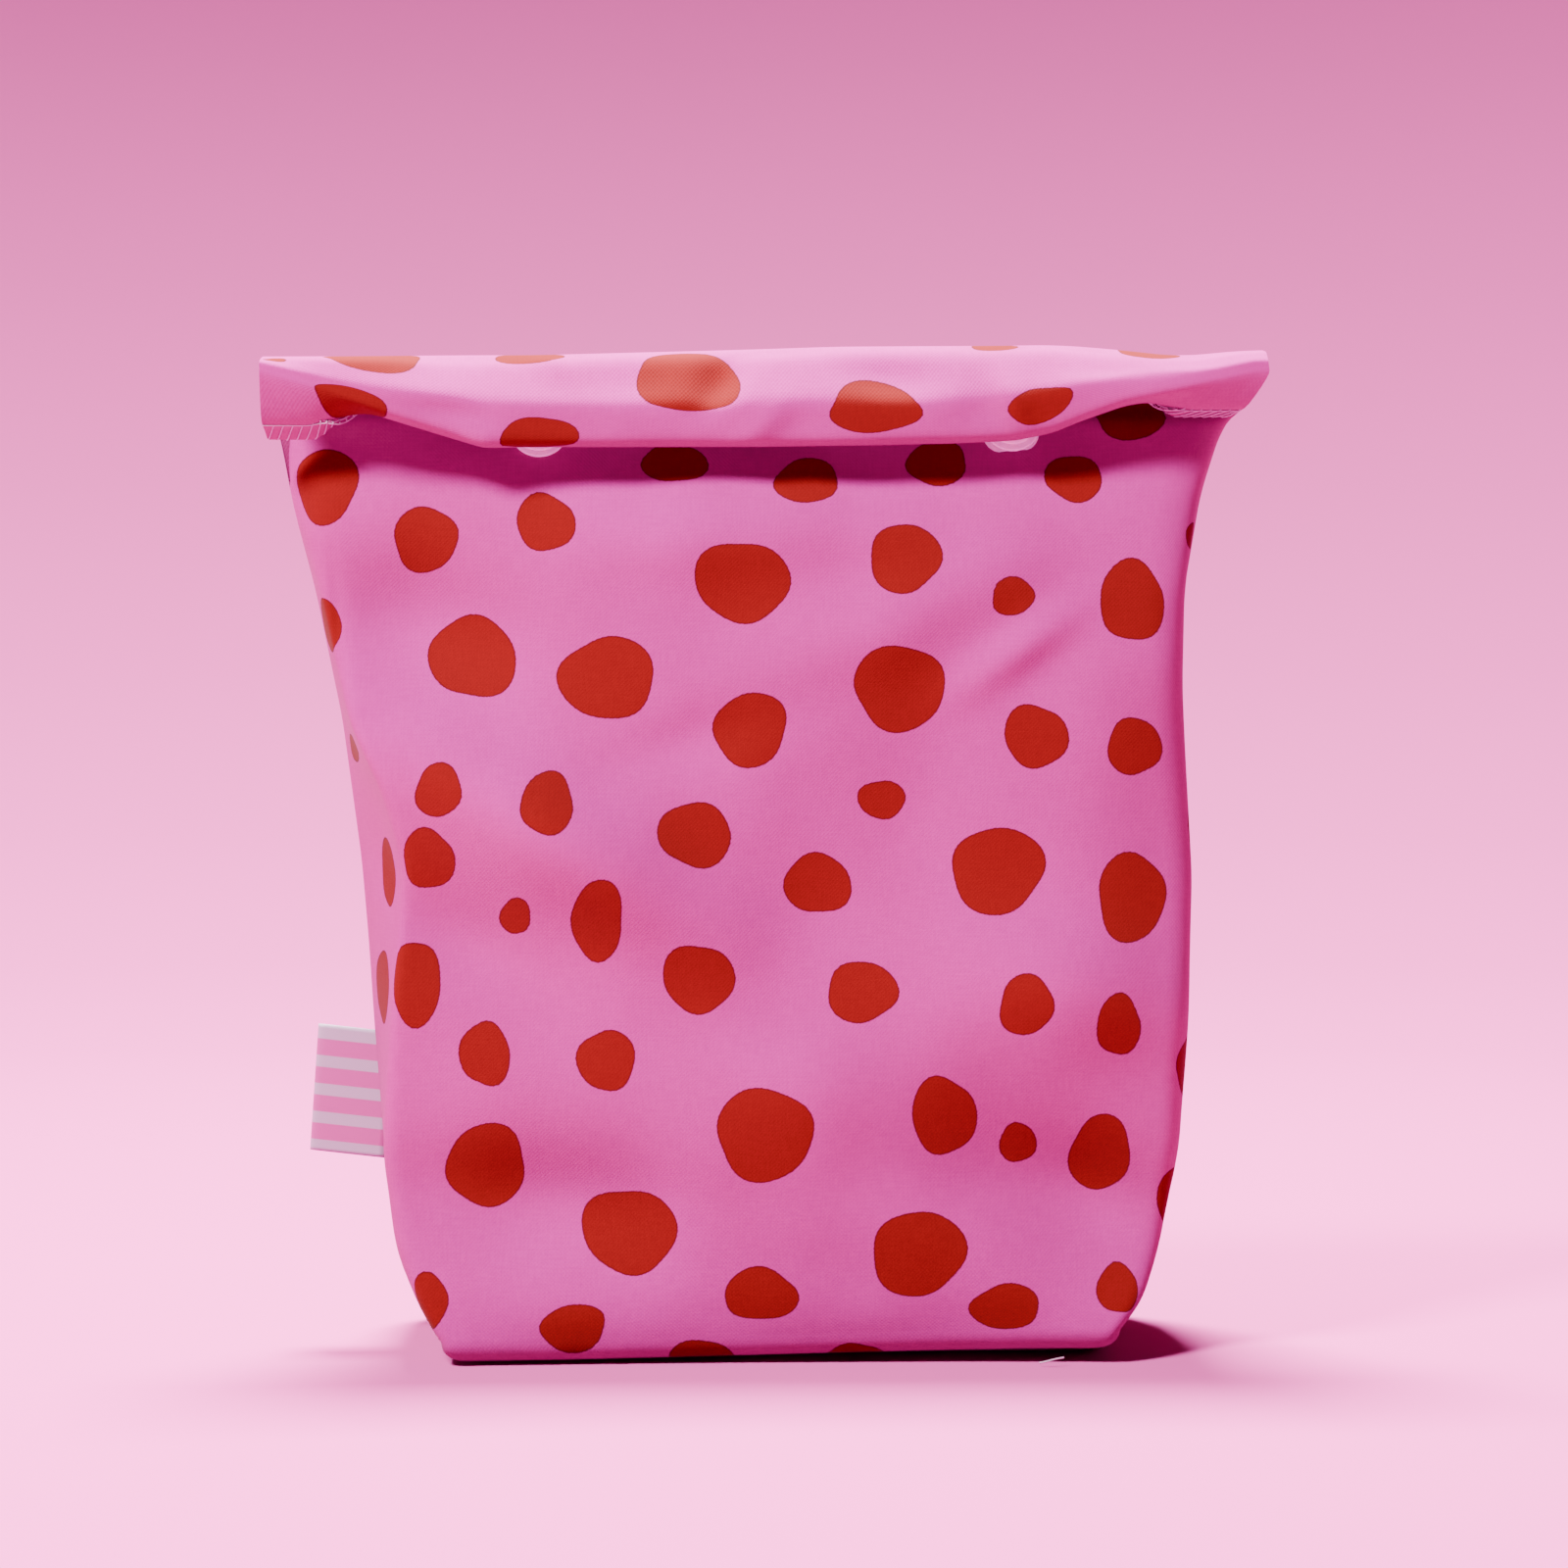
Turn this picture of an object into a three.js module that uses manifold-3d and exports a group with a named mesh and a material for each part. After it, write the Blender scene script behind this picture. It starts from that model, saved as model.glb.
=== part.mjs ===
// Roll-top lunch bag of thin printed cotton, standing on a boxed base, its mouth rolled forward
// and held by two plastic press snaps. Millimetres, +Z up. The front faces -Y, and the origin lies
// on the floor under the middle of the base.
import * as THREE from 'three';
import Module from 'manifold-3d';
import { mergeVertices } from 'three/addons/utils/BufferGeometryUtils.js';

// Cloth and clearances
const CLOTH = 0.6;            // one layer of cotton
const LAYER_GAP = 0.5;        // between the two layers where the mouth lies flat
const CLEAR = 0.3;            // between neighbouring pieces
const SEAM_SPLIT = 0.3;       // between the front and back panels along their seams

// The bag below the roll
const FLAT_WIDTH = 212;       // seam to seam with the bag pressed flat
const BASE_WIDTH = 136;
const BASE_DEPTH = 80;
const NECK_HEIGHT = 208.4;    // floor to the back crease where the roll begins
const SEAM_ALLOWANCE = 7;     // overlocked edge left inside the seams
const CORNER_RISE = 9;        // where the side seams start above the base
const SEAM_ROOM = 10.5;       // they end where the bag's half depth falls to this

// The rolled mouth, along the outer face of the back panel's cloth
const UNDER_DEPTH = 6.68;     // lower rear crease to the lower front crease, front to back
const FLAP_LEAN = 3.6;        // the lower front crease stands out past the upper one by this much
const ROLL_DROP = 21.2;       // top to the lower front crease
const UNDER_DROP = 2.6;       // the turned-under stretch slopes down to the hem by this much
const HEM_LENGTH = 15;        // lower rear crease to the overlocked edge
const NECK_RADIUS = 2.5;
const FRONT_RADIUS = 4;
const LOWER_RADIUS = 3.4;
const HEM_RADIUS = 3.4;
const EDGE_BEAD = 1.2;        // height of the overlock thread past the cloth's edge
const EDGE_BEAD_THICK = 1;

// Press snaps
const SNAP_SPACING = 100;
const SNAP_DROP = 14.1;       // from the neck's crease down to the centre of each stud
const SNAP_DIAMETER = 12.4;
const STUD_SEAT = 0.55;       // the stud's flat flange and cap stand this far off the curved panel
const STUD_FLANGE = 1;
const POST_DIAMETER = 3.6;
const POST_LENGTH = 0.9;      // past the stud's flange
const BORE_DIAMETER = 6.4;
const SOCKET_HEIGHT = 2.6;
const SOCKET_WEB = 0.4;
const SOCKET_STEP = 1;        // flange's edge to the socket's ring
const SNAP_EDGE = 0.3;        // chamfer on every moulded edge
const CAP_THICKNESS = 1.1;
const CAP_RIM = 0.35;         // upright part of the cap's edge
const DOME_STEPS = 4;
const PRONG_DIAMETER = 1.2;
const PRONG_SEAT = 0.9;       // how far the cap's prong reaches into the stud or the socket

// Ribbon label in the left side seam
const LABEL_LENGTH = 14.5;
const LABEL_HEIGHT = 26;
const LABEL_BOTTOM = 44.5;
const LABEL_TILT = 5;         // degrees, outer end up
const RIBBON = 0.35;
const RIBBON_FOLD = 1.2;      // thickness of the ribbon folded double
const ROOT_SIDES = 16;

const LAYER_HALF = LAYER_GAP / 2 + CLOTH;
const SNAP_HEIGHT = NECK_HEIGHT - SNAP_DROP;
const CUT_PAST = 5;           // a cutting solid runs past what it cuts by this much
const DRILL_SIDES = 12;
const RING_POINTS = 26;
const OUTLINE_STEPS = 400;    // fine steps from which a ring's even points are taken

// Each row is one level of the bag: height as a share of the neck's, how far the width has grown
// from the base's to the flat cloth's, the depth as a share of the base's, and the roundness of
// the section, from 0 for a box to 1 for two sheets that meet in a point at the seams.
const LEVELS = [
  { height: 0.0, spread: 0.0, depth: 1.0, round: 0.0 },
  { height: 0.05, spread: 0.16, depth: 0.94, round: 0.04 },
  { height: 0.113, spread: 0.33, depth: 0.85, round: 0.07 },
  { height: 0.21, spread: 0.43, depth: 0.78, round: 0.1 },
  { height: 0.343, spread: 0.47, depth: 0.73, round: 0.14 },
  { height: 0.495, spread: 0.525, depth: 0.65, round: 0.22 },
  { height: 0.69, spread: 0.58, depth: 0.51, round: 0.4 },
  { height: 0.79, spread: 0.655, depth: 0.385, round: 0.58 },
  { height: 0.86, spread: 0.74, depth: 0.245, round: 0.8 },
  { height: 0.915, spread: 0.84, depth: 0.115, round: 0.95 },
  { height: 0.945, spread: 0.905, depth: 0.055, round: 1.0 },
  { height: 0.972, spread: 0.955, depth: 0.015, round: 1.0 },
  { height: 1.0, spread: 1.0, depth: 0.0, round: 1.0 },
];
// Powers of a section's cosine and sine: what a box has, and what roundness adds to it
const BOX_POWER = 0.2;
const ACROSS_POWER = 0.75;
const OUTWARD_POWER = 1.3;
// The levels at which the skin has a ring of points, as shares of the neck's height
const RING_SHARES = [0, 0.012, 0.03, 0.055, 0.085, 0.12, 0.17, 0.24, 0.33, 0.43, 0.53, 0.62, 0.7,
  0.76, 0.81, 0.85, 0.885, 0.915, 0.94, 0.965, 0.982, 1];

const wasm = await Module();
wasm.setup();

function toManifold(geometry) {
  const bare = geometry.clone();
  bare.deleteAttribute('normal');
  bare.deleteAttribute('uv');
  const merged = mergeVertices(bare, 1e-4);
  return new wasm.Manifold(new wasm.Mesh({
    numProp: 3,
    vertProperties: new Float32Array(merged.attributes.position.array),
    triVerts: new Uint32Array(merged.index.array),
  }));
}

function toGeometry(manifold) {
  const mesh = manifold.getMesh();
  const geometry = new THREE.BufferGeometry();
  geometry.setAttribute('position', new THREE.BufferAttribute(new Float32Array(mesh.vertProperties), 3));
  geometry.setIndex(new THREE.BufferAttribute(new Uint32Array(mesh.triVerts), 1));
  geometry.computeVertexNormals();
  return geometry;
}

// Colours and finishes, as the photograph shows them
const pinkCotton = new THREE.MeshStandardMaterial({ color: 0xe884c4, roughness: 0.85, metalness: 0 });
const innerCotton = new THREE.MeshStandardMaterial({ color: 0xdc7ab8, roughness: 0.85, metalness: 0 });
const seamThread = new THREE.MeshStandardMaterial({ color: 0xf3c9e2, roughness: 0.8, metalness: 0 });
const snapPlastic = new THREE.MeshStandardMaterial({ color: 0xf4eef2, roughness: 0.35, metalness: 0 });
const ribbonCloth = new THREE.MeshStandardMaterial({ color: 0xe6cfe6, roughness: 0.7, metalness: 0 });

const bag = new THREE.Group();

function addPiece(name, geometry, material) {
  const mesh = new THREE.Mesh(geometry, material.clone());
  mesh.name = name;
  bag.add(mesh);
}

// One level's width, depth and roundness at a share of the neck's height
function levelAt(share) {
  const row = Math.max(1, LEVELS.findIndex((level) => level.height >= Math.min(share, 1)));
  const [low, high] = [LEVELS[row - 1], LEVELS[row]];
  const mix = (Math.min(share, 1) - low.height) / (high.height - low.height);
  const spread = THREE.MathUtils.lerp(low.spread, high.spread, mix);
  return {
    halfWidth: THREE.MathUtils.lerp(BASE_WIDTH, FLAT_WIDTH, spread) / 2,
    bulge: THREE.MathUtils.lerp(low.depth, high.depth, mix) * (BASE_DEPTH / 2 - LAYER_HALF),
    round: THREE.MathUtils.lerp(low.round, high.round, mix),
  };
}

// Half of a level's outline, from the right seam over the back to the left seam. The points lie
// evenly along the cloth, and the seam keeps the thickness of the flat layers.
function halfOutline(level, inset, seamHalf) {
  const halfWidth = level.halfWidth - inset;
  const across = BOX_POWER + ACROSS_POWER * level.round;
  const outward = BOX_POWER + OUTWARD_POWER * level.round;
  const dense = [];
  for (let step = 0; step <= OUTLINE_STEPS; step += 1) {
    const turn = (Math.PI * step) / OUTLINE_STEPS;
    const cosine = Math.cos(turn);
    const x = halfWidth * Math.sign(cosine) * Math.abs(cosine) ** across;
    dense.push(new THREE.Vector2(x, seamHalf + level.bulge * Math.max(0, Math.sin(turn)) ** outward));
  }
  const run = [0];
  for (let step = 1; step <= OUTLINE_STEPS; step += 1) {
    run.push(run[step - 1] + dense[step].distanceTo(dense[step - 1]));
  }
  const points = [];
  let step = 1;
  for (let count = 0; count <= RING_POINTS; count += 1) {
    const target = (run[OUTLINE_STEPS] * count) / RING_POINTS;
    while (step < OUTLINE_STEPS && run[step] < target) step += 1;
    const part = (target - run[step - 1]) / (run[step] - run[step - 1]);
    points.push(dense[step - 1].clone().lerp(dense[step], THREE.MathUtils.clamp(part, 0, 1)));
  }
  return points;
}

// A closed ring at one height: seam point, back half, seam point, front half
function ring(z, share, inset, seamHalf) {
  const level = levelAt(share);
  const half = halfOutline(level, inset, seamHalf);
  const tip = level.halfWidth - inset;
  const back = half.map((point) => new THREE.Vector3(point.x, point.y, z));
  const front = half.map((point) => new THREE.Vector3(-point.x, -point.y, z));
  return [new THREE.Vector3(tip, 0, z), ...back, new THREE.Vector3(-tip, 0, z), ...front];
}

// A solid skinned over closed rings, bottom to top, with a fan of triangles over each end
function loft(rings) {
  const positions = [];
  const push = (...corners) => corners.forEach((corner) => positions.push(corner.x, corner.y, corner.z));
  const count = rings[0].length;
  for (let level = 0; level + 1 < rings.length; level += 1) {
    for (let index = 0; index < count; index += 1) {
      const next = (index + 1) % count;
      const [a, b] = [rings[level][index], rings[level][next]];
      const [c, d] = [rings[level + 1][next], rings[level + 1][index]];
      push(a, b, c);
      push(a, c, d);
    }
  }
  const middle = (points) => points
    .reduce((sum, point) => sum.add(point), new THREE.Vector3())
    .divideScalar(points.length);
  const top = rings[rings.length - 1];
  for (let index = 0; index < count; index += 1) {
    const next = (index + 1) % count;
    push(rings[0][next], rings[0][index], middle(rings[0]));
    push(top[index], top[next], middle(top));
  }
  const geometry = new THREE.BufferGeometry();
  geometry.setAttribute('position', new THREE.Float32BufferAttribute(positions, 3));
  return geometry;
}

function boxSolid(x, y, z, centre) {
  return toManifold(new THREE.BoxGeometry(x, y, z).translate(centre.x, centre.y, centre.z));
}

// Depth of the front panel's outer face at a point across the bag, on the facets as built
function panelDepth(x, z) {
  const heights = RING_SHARES.map((share) => share * NECK_HEIGHT);
  const depthOnRing = (share) => {
    const half = halfOutline(levelAt(share), 0, LAYER_HALF);
    const index = half.findIndex((point) => point.x <= x);
    const [before, after] = [half[index - 1], half[index]];
    return THREE.MathUtils.mapLinear(x, before.x, after.x, before.y, after.y);
  };
  const row = heights.findIndex((height) => height >= z);
  return THREE.MathUtils.mapLinear(z, heights[row - 1], heights[row],
    depthOnRing(RING_SHARES[row - 1]), depthOnRing(RING_SHARES[row]));
}

// Where the studs sit: a point on the panel's face and the direction out of the panel there,
// both in the plane of front distance and height
const SNAP_SEAT = (() => {
  const x = SNAP_SPACING / 2;
  const reach = SNAP_DIAMETER / 2;
  const lower = panelDepth(x, SNAP_HEIGHT - reach);
  const upper = panelDepth(x, SNAP_HEIGHT + reach);
  const along = new THREE.Vector2(upper - lower, 2 * reach).normalize();
  const out = new THREE.Vector2(along.y, -along.x);
  const bow = panelDepth(x, SNAP_HEIGHT) - (lower + upper) / 2;
  const face = new THREE.Vector2((lower + upper) / 2 + Math.max(bow, 0) / out.x, SNAP_HEIGHT);
  return { x, along, out, face };
})();

// The roll's section, as the outer face of the back panel's cloth: front distance and height.
// The hem lies along the front panel, as far out as the closed snaps hold it.
const SNAP_STACK = STUD_SEAT + STUD_FLANGE + CLEAR + SOCKET_HEIGHT + CLEAR;
const BACK_FACE = -LAYER_HALF;
const ROLL_TOP = NECK_HEIGHT + NECK_RADIUS;
const hemFace = SNAP_SEAT.face.clone().addScaledVector(SNAP_SEAT.out, SNAP_STACK);
const hemCreaseHeight = ROLL_TOP - ROLL_DROP - UNDER_DROP;
const LOWER_REAR = hemFace.clone()
  .addScaledVector(SNAP_SEAT.along, (hemCreaseHeight - hemFace.y) / SNAP_SEAT.along.y);
const LOWER_FRONT = LOWER_REAR.clone().add(new THREE.Vector2(UNDER_DEPTH, UNDER_DROP));
const UPPER_FRONT = new THREE.Vector2(LOWER_FRONT.x - FLAP_LEAN, ROLL_TOP);
const HEM_END = LOWER_REAR.clone().addScaledVector(SNAP_SEAT.along, HEM_LENGTH);
const ROLL_CORNERS = [
  { at: new THREE.Vector2(BACK_FACE, NECK_HEIGHT), radius: 0 },
  { at: new THREE.Vector2(BACK_FACE, ROLL_TOP), radius: NECK_RADIUS },
  { at: UPPER_FRONT, radius: FRONT_RADIUS },
  { at: LOWER_FRONT, radius: LOWER_RADIUS },
  { at: LOWER_REAR, radius: HEM_RADIUS },
  { at: HEM_END, radius: 0 },
];
const ARC_STEPS = 6;

// The section as points with their inward normals, each bend an arc. A bend's middle point ends
// one stretch of the roll and starts the next, except the first bend, which is all the crown's.
function rollStretches() {
  const stretches = [[]];
  for (let corner = 1; corner + 1 < ROLL_CORNERS.length; corner += 1) {
    const { at, radius } = ROLL_CORNERS[corner];
    const into = at.clone().sub(ROLL_CORNERS[corner - 1].at).normalize();
    const outOf = ROLL_CORNERS[corner + 1].at.clone().sub(at).normalize();
    const turn = Math.acos(THREE.MathUtils.clamp(into.dot(outOf), -1, 1));
    const tangent = radius * Math.tan(turn / 2);
    const inward = new THREE.Vector2(into.y, -into.x);
    const centre = at.clone().addScaledVector(into, -tangent).addScaledVector(inward, radius);
    for (let step = 0; step <= ARC_STEPS; step += 1) {
      const normal = inward.clone().rotateAround(new THREE.Vector2(), (-turn * step) / ARC_STEPS);
      const point = { at: centre.clone().addScaledVector(normal, -radius), inward: normal };
      stretches[stretches.length - 1].push(point);
      if (corner > 1 && step === ARC_STEPS / 2) stretches.push([point]);
    }
  }
  const last = ROLL_CORNERS[ROLL_CORNERS.length - 1];
  const rearward = stretches[stretches.length - 1].at(-1).inward;
  stretches[stretches.length - 1].push({ at: last.at, inward: rearward });
  return stretches;
}

// One layer of one stretch: the section between two offsets from the outer face, as wide as the
// bag. The ends are drawn in by half a clearance, so that neighbours meet face to face.
function layerSolid(stretch, offsets, width) {
  const trimmed = stretch.map((point) => ({ ...point, at: point.at.clone() }));
  const alongAt = (point) => new THREE.Vector2(-point.inward.y, point.inward.x);
  trimmed[0].at.addScaledVector(alongAt(trimmed[0]), CLEAR / 2);
  trimmed.at(-1).at.addScaledVector(alongAt(trimmed.at(-1)), -CLEAR / 2);
  const side = (pick) => trimmed.map((point, index) => {
    const offset = offsets(index)[pick];
    return point.at.clone().addScaledVector(point.inward, offset);
  });
  const outline = [...side(0), ...side(1).reverse()];
  const shape = new THREE.Shape(outline.map((point) => new THREE.Vector2(-point.x, point.y)));
  const geometry = new THREE.ExtrudeGeometry(shape, { depth: width, bevelEnabled: false });
  return geometry.applyMatrix4(ACROSS).translate(-width / 2, 0, 0);
}

// Turns a section drawn in Y and Z and extruded along its own third axis to run along X
const ACROSS = new THREE.Matrix4().makeBasis(
  new THREE.Vector3(0, 1, 0), new THREE.Vector3(0, 0, 1), new THREE.Vector3(1, 0, 0));

// A snap's own frame: its axis along +Z, its seat on the panel or on the hem at the origin
function snapFrame(x, seat, out) {
  const axis = new THREE.Vector3(0, -out.x, out.y);
  const side = new THREE.Vector3(1, 0, 0);
  const frame = new THREE.Matrix4().makeBasis(side, axis.clone().cross(side), axis);
  frame.setPosition(x, -seat.x, seat.y);
  return frame;
}

const profile = (pairs) => pairs.map(([radius, height]) => new THREE.Vector2(radius, height));
const LATHE_SIDES = 28;

// Lathe solid with its axis turned to +Z
function turned(pairs, sides = LATHE_SIDES) {
  return new THREE.LatheGeometry(profile(pairs), sides).rotateX(Math.PI / 2);
}

const snapRadius = SNAP_DIAMETER / 2;
const prongHole = PRONG_DIAMETER / 2 + CLEAR;

// Stud: a flat flange with a round post, and a blind hole for the cap's prong behind it
function studGeometry() {
  const post = POST_DIAMETER / 2;
  const tip = STUD_FLANGE + POST_LENGTH;
  return turned([
    [0, PRONG_SEAT + CLEAR], [prongHole, PRONG_SEAT + CLEAR], [prongHole, 0],
    [snapRadius - SNAP_EDGE, 0], [snapRadius, SNAP_EDGE], [snapRadius, STUD_FLANGE - SNAP_EDGE],
    [snapRadius - SNAP_EDGE, STUD_FLANGE], [post, STUD_FLANGE], [post, tip - SNAP_EDGE],
    [post - SNAP_EDGE, tip], [0, tip],
  ]);
}

// Socket: a flange on the cloth and a stout ring round the bore that takes the post
function socketGeometry() {
  const bore = BORE_DIAMETER / 2;
  const shoulder = snapRadius - SOCKET_STEP;
  const floor = PRONG_SEAT + CLEAR + SOCKET_WEB;
  return turned([
    [0, PRONG_SEAT + CLEAR], [prongHole, PRONG_SEAT + CLEAR], [prongHole, 0],
    [snapRadius - SNAP_EDGE, 0], [snapRadius, SNAP_EDGE], [snapRadius, STUD_FLANGE - SNAP_EDGE],
    [shoulder, STUD_FLANGE], [shoulder, SOCKET_HEIGHT - SNAP_EDGE],
    [shoulder - SNAP_EDGE, SOCKET_HEIGHT], [bore + SNAP_EDGE, SOCKET_HEIGHT],
    [bore, SOCKET_HEIGHT - SNAP_EDGE], [bore, floor], [0, floor],
  ]);
}

// Cap: a low dome on the other side of the cloth, with the prong that is pressed into its mate
function capGeometry(seatGap) {
  const seat = -(CLOTH + 2 * seatGap);
  const prong = PRONG_DIAMETER / 2;
  const dome = [];
  for (let step = 0; step <= DOME_STEPS; step += 1) {
    const lean = (Math.PI / 2) * (step / DOME_STEPS);
    const rise = (CAP_THICKNESS - CAP_RIM) * Math.cos(lean);
    dome.push([snapRadius * Math.sin(lean), seat - CAP_RIM - rise]);
  }
  return turned([
    ...dome, [snapRadius, seat], [prong, seat],
    [prong, PRONG_SEAT - SNAP_EDGE], [prong - SNAP_EDGE, PRONG_SEAT], [0, PRONG_SEAT],
  ]);
}

// A round hole for a prong through the cloth at a snap
function pierceAt(frame, seatGap) {
  const drill = new THREE.CylinderGeometry(prongHole, prongHole, 4 * CLOTH, DRILL_SIDES);
  drill.rotateX(Math.PI / 2);
  return toManifold(drill.translate(0, 0, -seatGap - CLOTH / 2).applyMatrix4(frame));
}

// The stud's frame on the panel, and the socket's on the hem, facing each other
const studFrames = [-1, 1].map((side) => snapFrame(side * SNAP_SEAT.x,
  SNAP_SEAT.face.clone().addScaledVector(SNAP_SEAT.out, STUD_SEAT), SNAP_SEAT.out));
const socketFrames = [-1, 1].map((side) => snapFrame(side * SNAP_SEAT.x,
  SNAP_SEAT.face.clone().addScaledVector(SNAP_SEAT.out, SNAP_STACK - CLEAR),
  SNAP_SEAT.out.clone().negate()));

// Front and back panels: one shell of cloth, parted along the side seams and under the base
function addPanels() {
  const outer = RING_SHARES.map((share) => ring(share * NECK_HEIGHT, share, 0, LAYER_HALF));
  const innerHeights = RING_SHARES.slice(1).map((share) => share * NECK_HEIGHT);
  const inner = [ring(CLOTH, CLOTH / NECK_HEIGHT, CLOTH, LAYER_GAP / 2)];
  innerHeights.forEach((z) => inner.push(ring(z, z / NECK_HEIGHT, CLOTH, LAYER_GAP / 2)));
  inner.push(ring(NECK_HEIGHT + CUT_PAST, 1, CLOTH, LAYER_GAP / 2));
  const shell = toManifold(loft(outer)).subtract(toManifold(loft(inner)));
  const halfSpace = (side) => boxSolid(2 * FLAT_WIDTH, BASE_DEPTH, 3 * NECK_HEIGHT,
    new THREE.Vector3(0, side * (BASE_DEPTH / 2 + SEAM_SPLIT / 2), 0));
  let front = shell.intersect(halfSpace(-1));
  studFrames.forEach((frame) => { front = front.subtract(pierceAt(frame, STUD_SEAT)); });
  addPiece('front_panel', toGeometry(front), pinkCotton);
  addPiece('back_panel', toGeometry(shell.intersect(halfSpace(1))), pinkCotton);
}

// A strip of the overlocked seam edges, upright in a plane and two layers of cloth thick
function ribbonSolid(corners) {
  const shape = new THREE.Shape(corners.map(([u, v]) => new THREE.Vector2(u, v)));
  const thickness = 2 * CLOTH;
  const geometry = new THREE.ExtrudeGeometry(shape, { depth: thickness, bevelEnabled: false });
  return geometry.translate(0, 0, -thickness / 2);
}

// How far from the middle the inside of the bag reaches at a seam's half thickness, on the facets
function insideReach(z) {
  const reachOnRing = (share) => {
    const half = halfOutline(levelAt(share), CLOTH, LAYER_GAP / 2);
    return THREE.MathUtils.mapLinear(CLOTH, half[0].y, half[1].y, half[0].x, half[1].x);
  };
  const row = Math.max(1, RING_SHARES.findIndex((share) => share * NECK_HEIGHT >= z));
  const [low, high] = [RING_SHARES[row - 1], RING_SHARES[row]];
  return THREE.MathUtils.mapLinear(z / NECK_HEIGHT, low, high, reachOnRing(low), reachOnRing(high));
}

// Side seams: the panels' edges run up inside the bag at its widest line
function addSideSeams() {
  const low = CLOTH + CLEAR + CORNER_RISE;
  const seamTop = RING_SHARES.filter((share) => levelAt(share).bulge > SEAM_ROOM).at(-1);
  const high = seamTop * NECK_HEIGHT;
  const inside = (z) => insideReach(z) - CLEAR;
  const heights = [low, ...RING_SHARES.map((share) => share * NECK_HEIGHT)
    .filter((z) => z > low + 1 && z < high - 1), high];
  [['left_side_seam', -1], ['right_side_seam', 1]].forEach(([name, side]) => {
    const edge = heights.map((z) => [side * inside(z), z]);
    const free = heights.map((z) => [side * (inside(z) - SEAM_ALLOWANCE), z]).reverse();
    const upright = ribbonSolid(side > 0 ? [...edge, ...free] : [...free, ...edge]);
    addPiece(name, upright.rotateX(Math.PI / 2), innerCotton);
  });
}

// Base seam: stands along the middle of the base. Corner seams: lie on the base at its two ends.
function addBaseSeams() {
  const floor = CLOTH + CLEAR;
  const baseEnd = insideReach(floor) - CLEAR - 2 * CLOTH;
  const cornerInner = baseEnd - SEAM_ALLOWANCE;
  const seamEnd = cornerInner - CLEAR;
  const upright = ribbonSolid([[-seamEnd, floor], [seamEnd, floor],
    [seamEnd, floor + SEAM_ALLOWANCE], [-seamEnd, floor + SEAM_ALLOWANCE]]);
  addPiece('base_seam', upright.rotateX(Math.PI / 2), innerCotton);
  const reach = BASE_DEPTH / 2 - SEAM_ALLOWANCE;
  [['left_corner_seam', -1], ['right_corner_seam', 1]].forEach(([name, side]) => {
    const outerReach = reach - SEAM_ALLOWANCE;
    const flat = ribbonSolid([[side * baseEnd, -outerReach], [side * baseEnd, outerReach],
      [side * cornerInner, reach], [side * cornerInner, -reach]]);
    addPiece(name, flat.translate(0, 0, floor + CLOTH), innerCotton);
  });
}

// The rolled mouth: four stretches of both layers, each turning on the one before it
const STRETCH_NAMES = ['crown', 'flap', 'turn_under', 'hem'];
function addRoll() {
  const stretches = rollStretches();
  const frontStart = CLOTH + LAYER_GAP;
  const hemFrontStart = CLOTH + CAP_THICKNESS + 2 * CLEAR;
  stretches.forEach((stretch, index) => {
    const isHem = STRETCH_NAMES[index] === 'hem';
    const backOffsets = () => [0, CLOTH];
    const frontOffsets = (point) => {
      const bend = Math.min(1, point / (ARC_STEPS / 2));
      const start = isHem ? THREE.MathUtils.lerp(frontStart, hemFrontStart, bend) : frontStart;
      return [start, start + CLOTH];
    };
    let back = toManifold(layerSolid(stretch, backOffsets, FLAT_WIDTH));
    if (isHem) socketFrames.forEach((frame) => { back = back.subtract(pierceAt(frame, CLEAR)); });
    const front = layerSolid(stretch, frontOffsets, FLAT_WIDTH);
    addPiece(`${STRETCH_NAMES[index]}_back_layer`, toGeometry(back), pinkCotton);
    addPiece(`${STRETCH_NAMES[index]}_front_layer`, front, pinkCotton);
  });
  [['back_edge_overlock', 0], ['front_edge_overlock', hemFrontStart]].forEach(([name, start]) => {
    const hem = stretches.at(-1).at(-1);
    const along = new THREE.Vector2(-hem.inward.y, hem.inward.x);
    const bead = [0, EDGE_BEAD].map((rise) => ({
      at: hem.at.clone().addScaledVector(along, rise), inward: hem.inward }));
    const middle = start + CLOTH / 2;
    const offsets = () => [middle - EDGE_BEAD_THICK / 2, middle + EDGE_BEAD_THICK / 2];
    addPiece(name, layerSolid(bead, offsets, FLAT_WIDTH), seamThread);
  });
}

function addSnaps() {
  ['left', 'right'].forEach((side, index) => {
    const place = (name, geometry, frame) => {
      addPiece(`${side}_${name}`, geometry.applyMatrix4(frame), snapPlastic);
    };
    place('snap_stud', studGeometry(), studFrames[index]);
    place('snap_stud_cap', capGeometry(STUD_SEAT), studFrames[index]);
    place('snap_socket', socketGeometry(), socketFrames[index]);
    place('snap_socket_cap', capGeometry(CLEAR), socketFrames[index]);
  });
}

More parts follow.
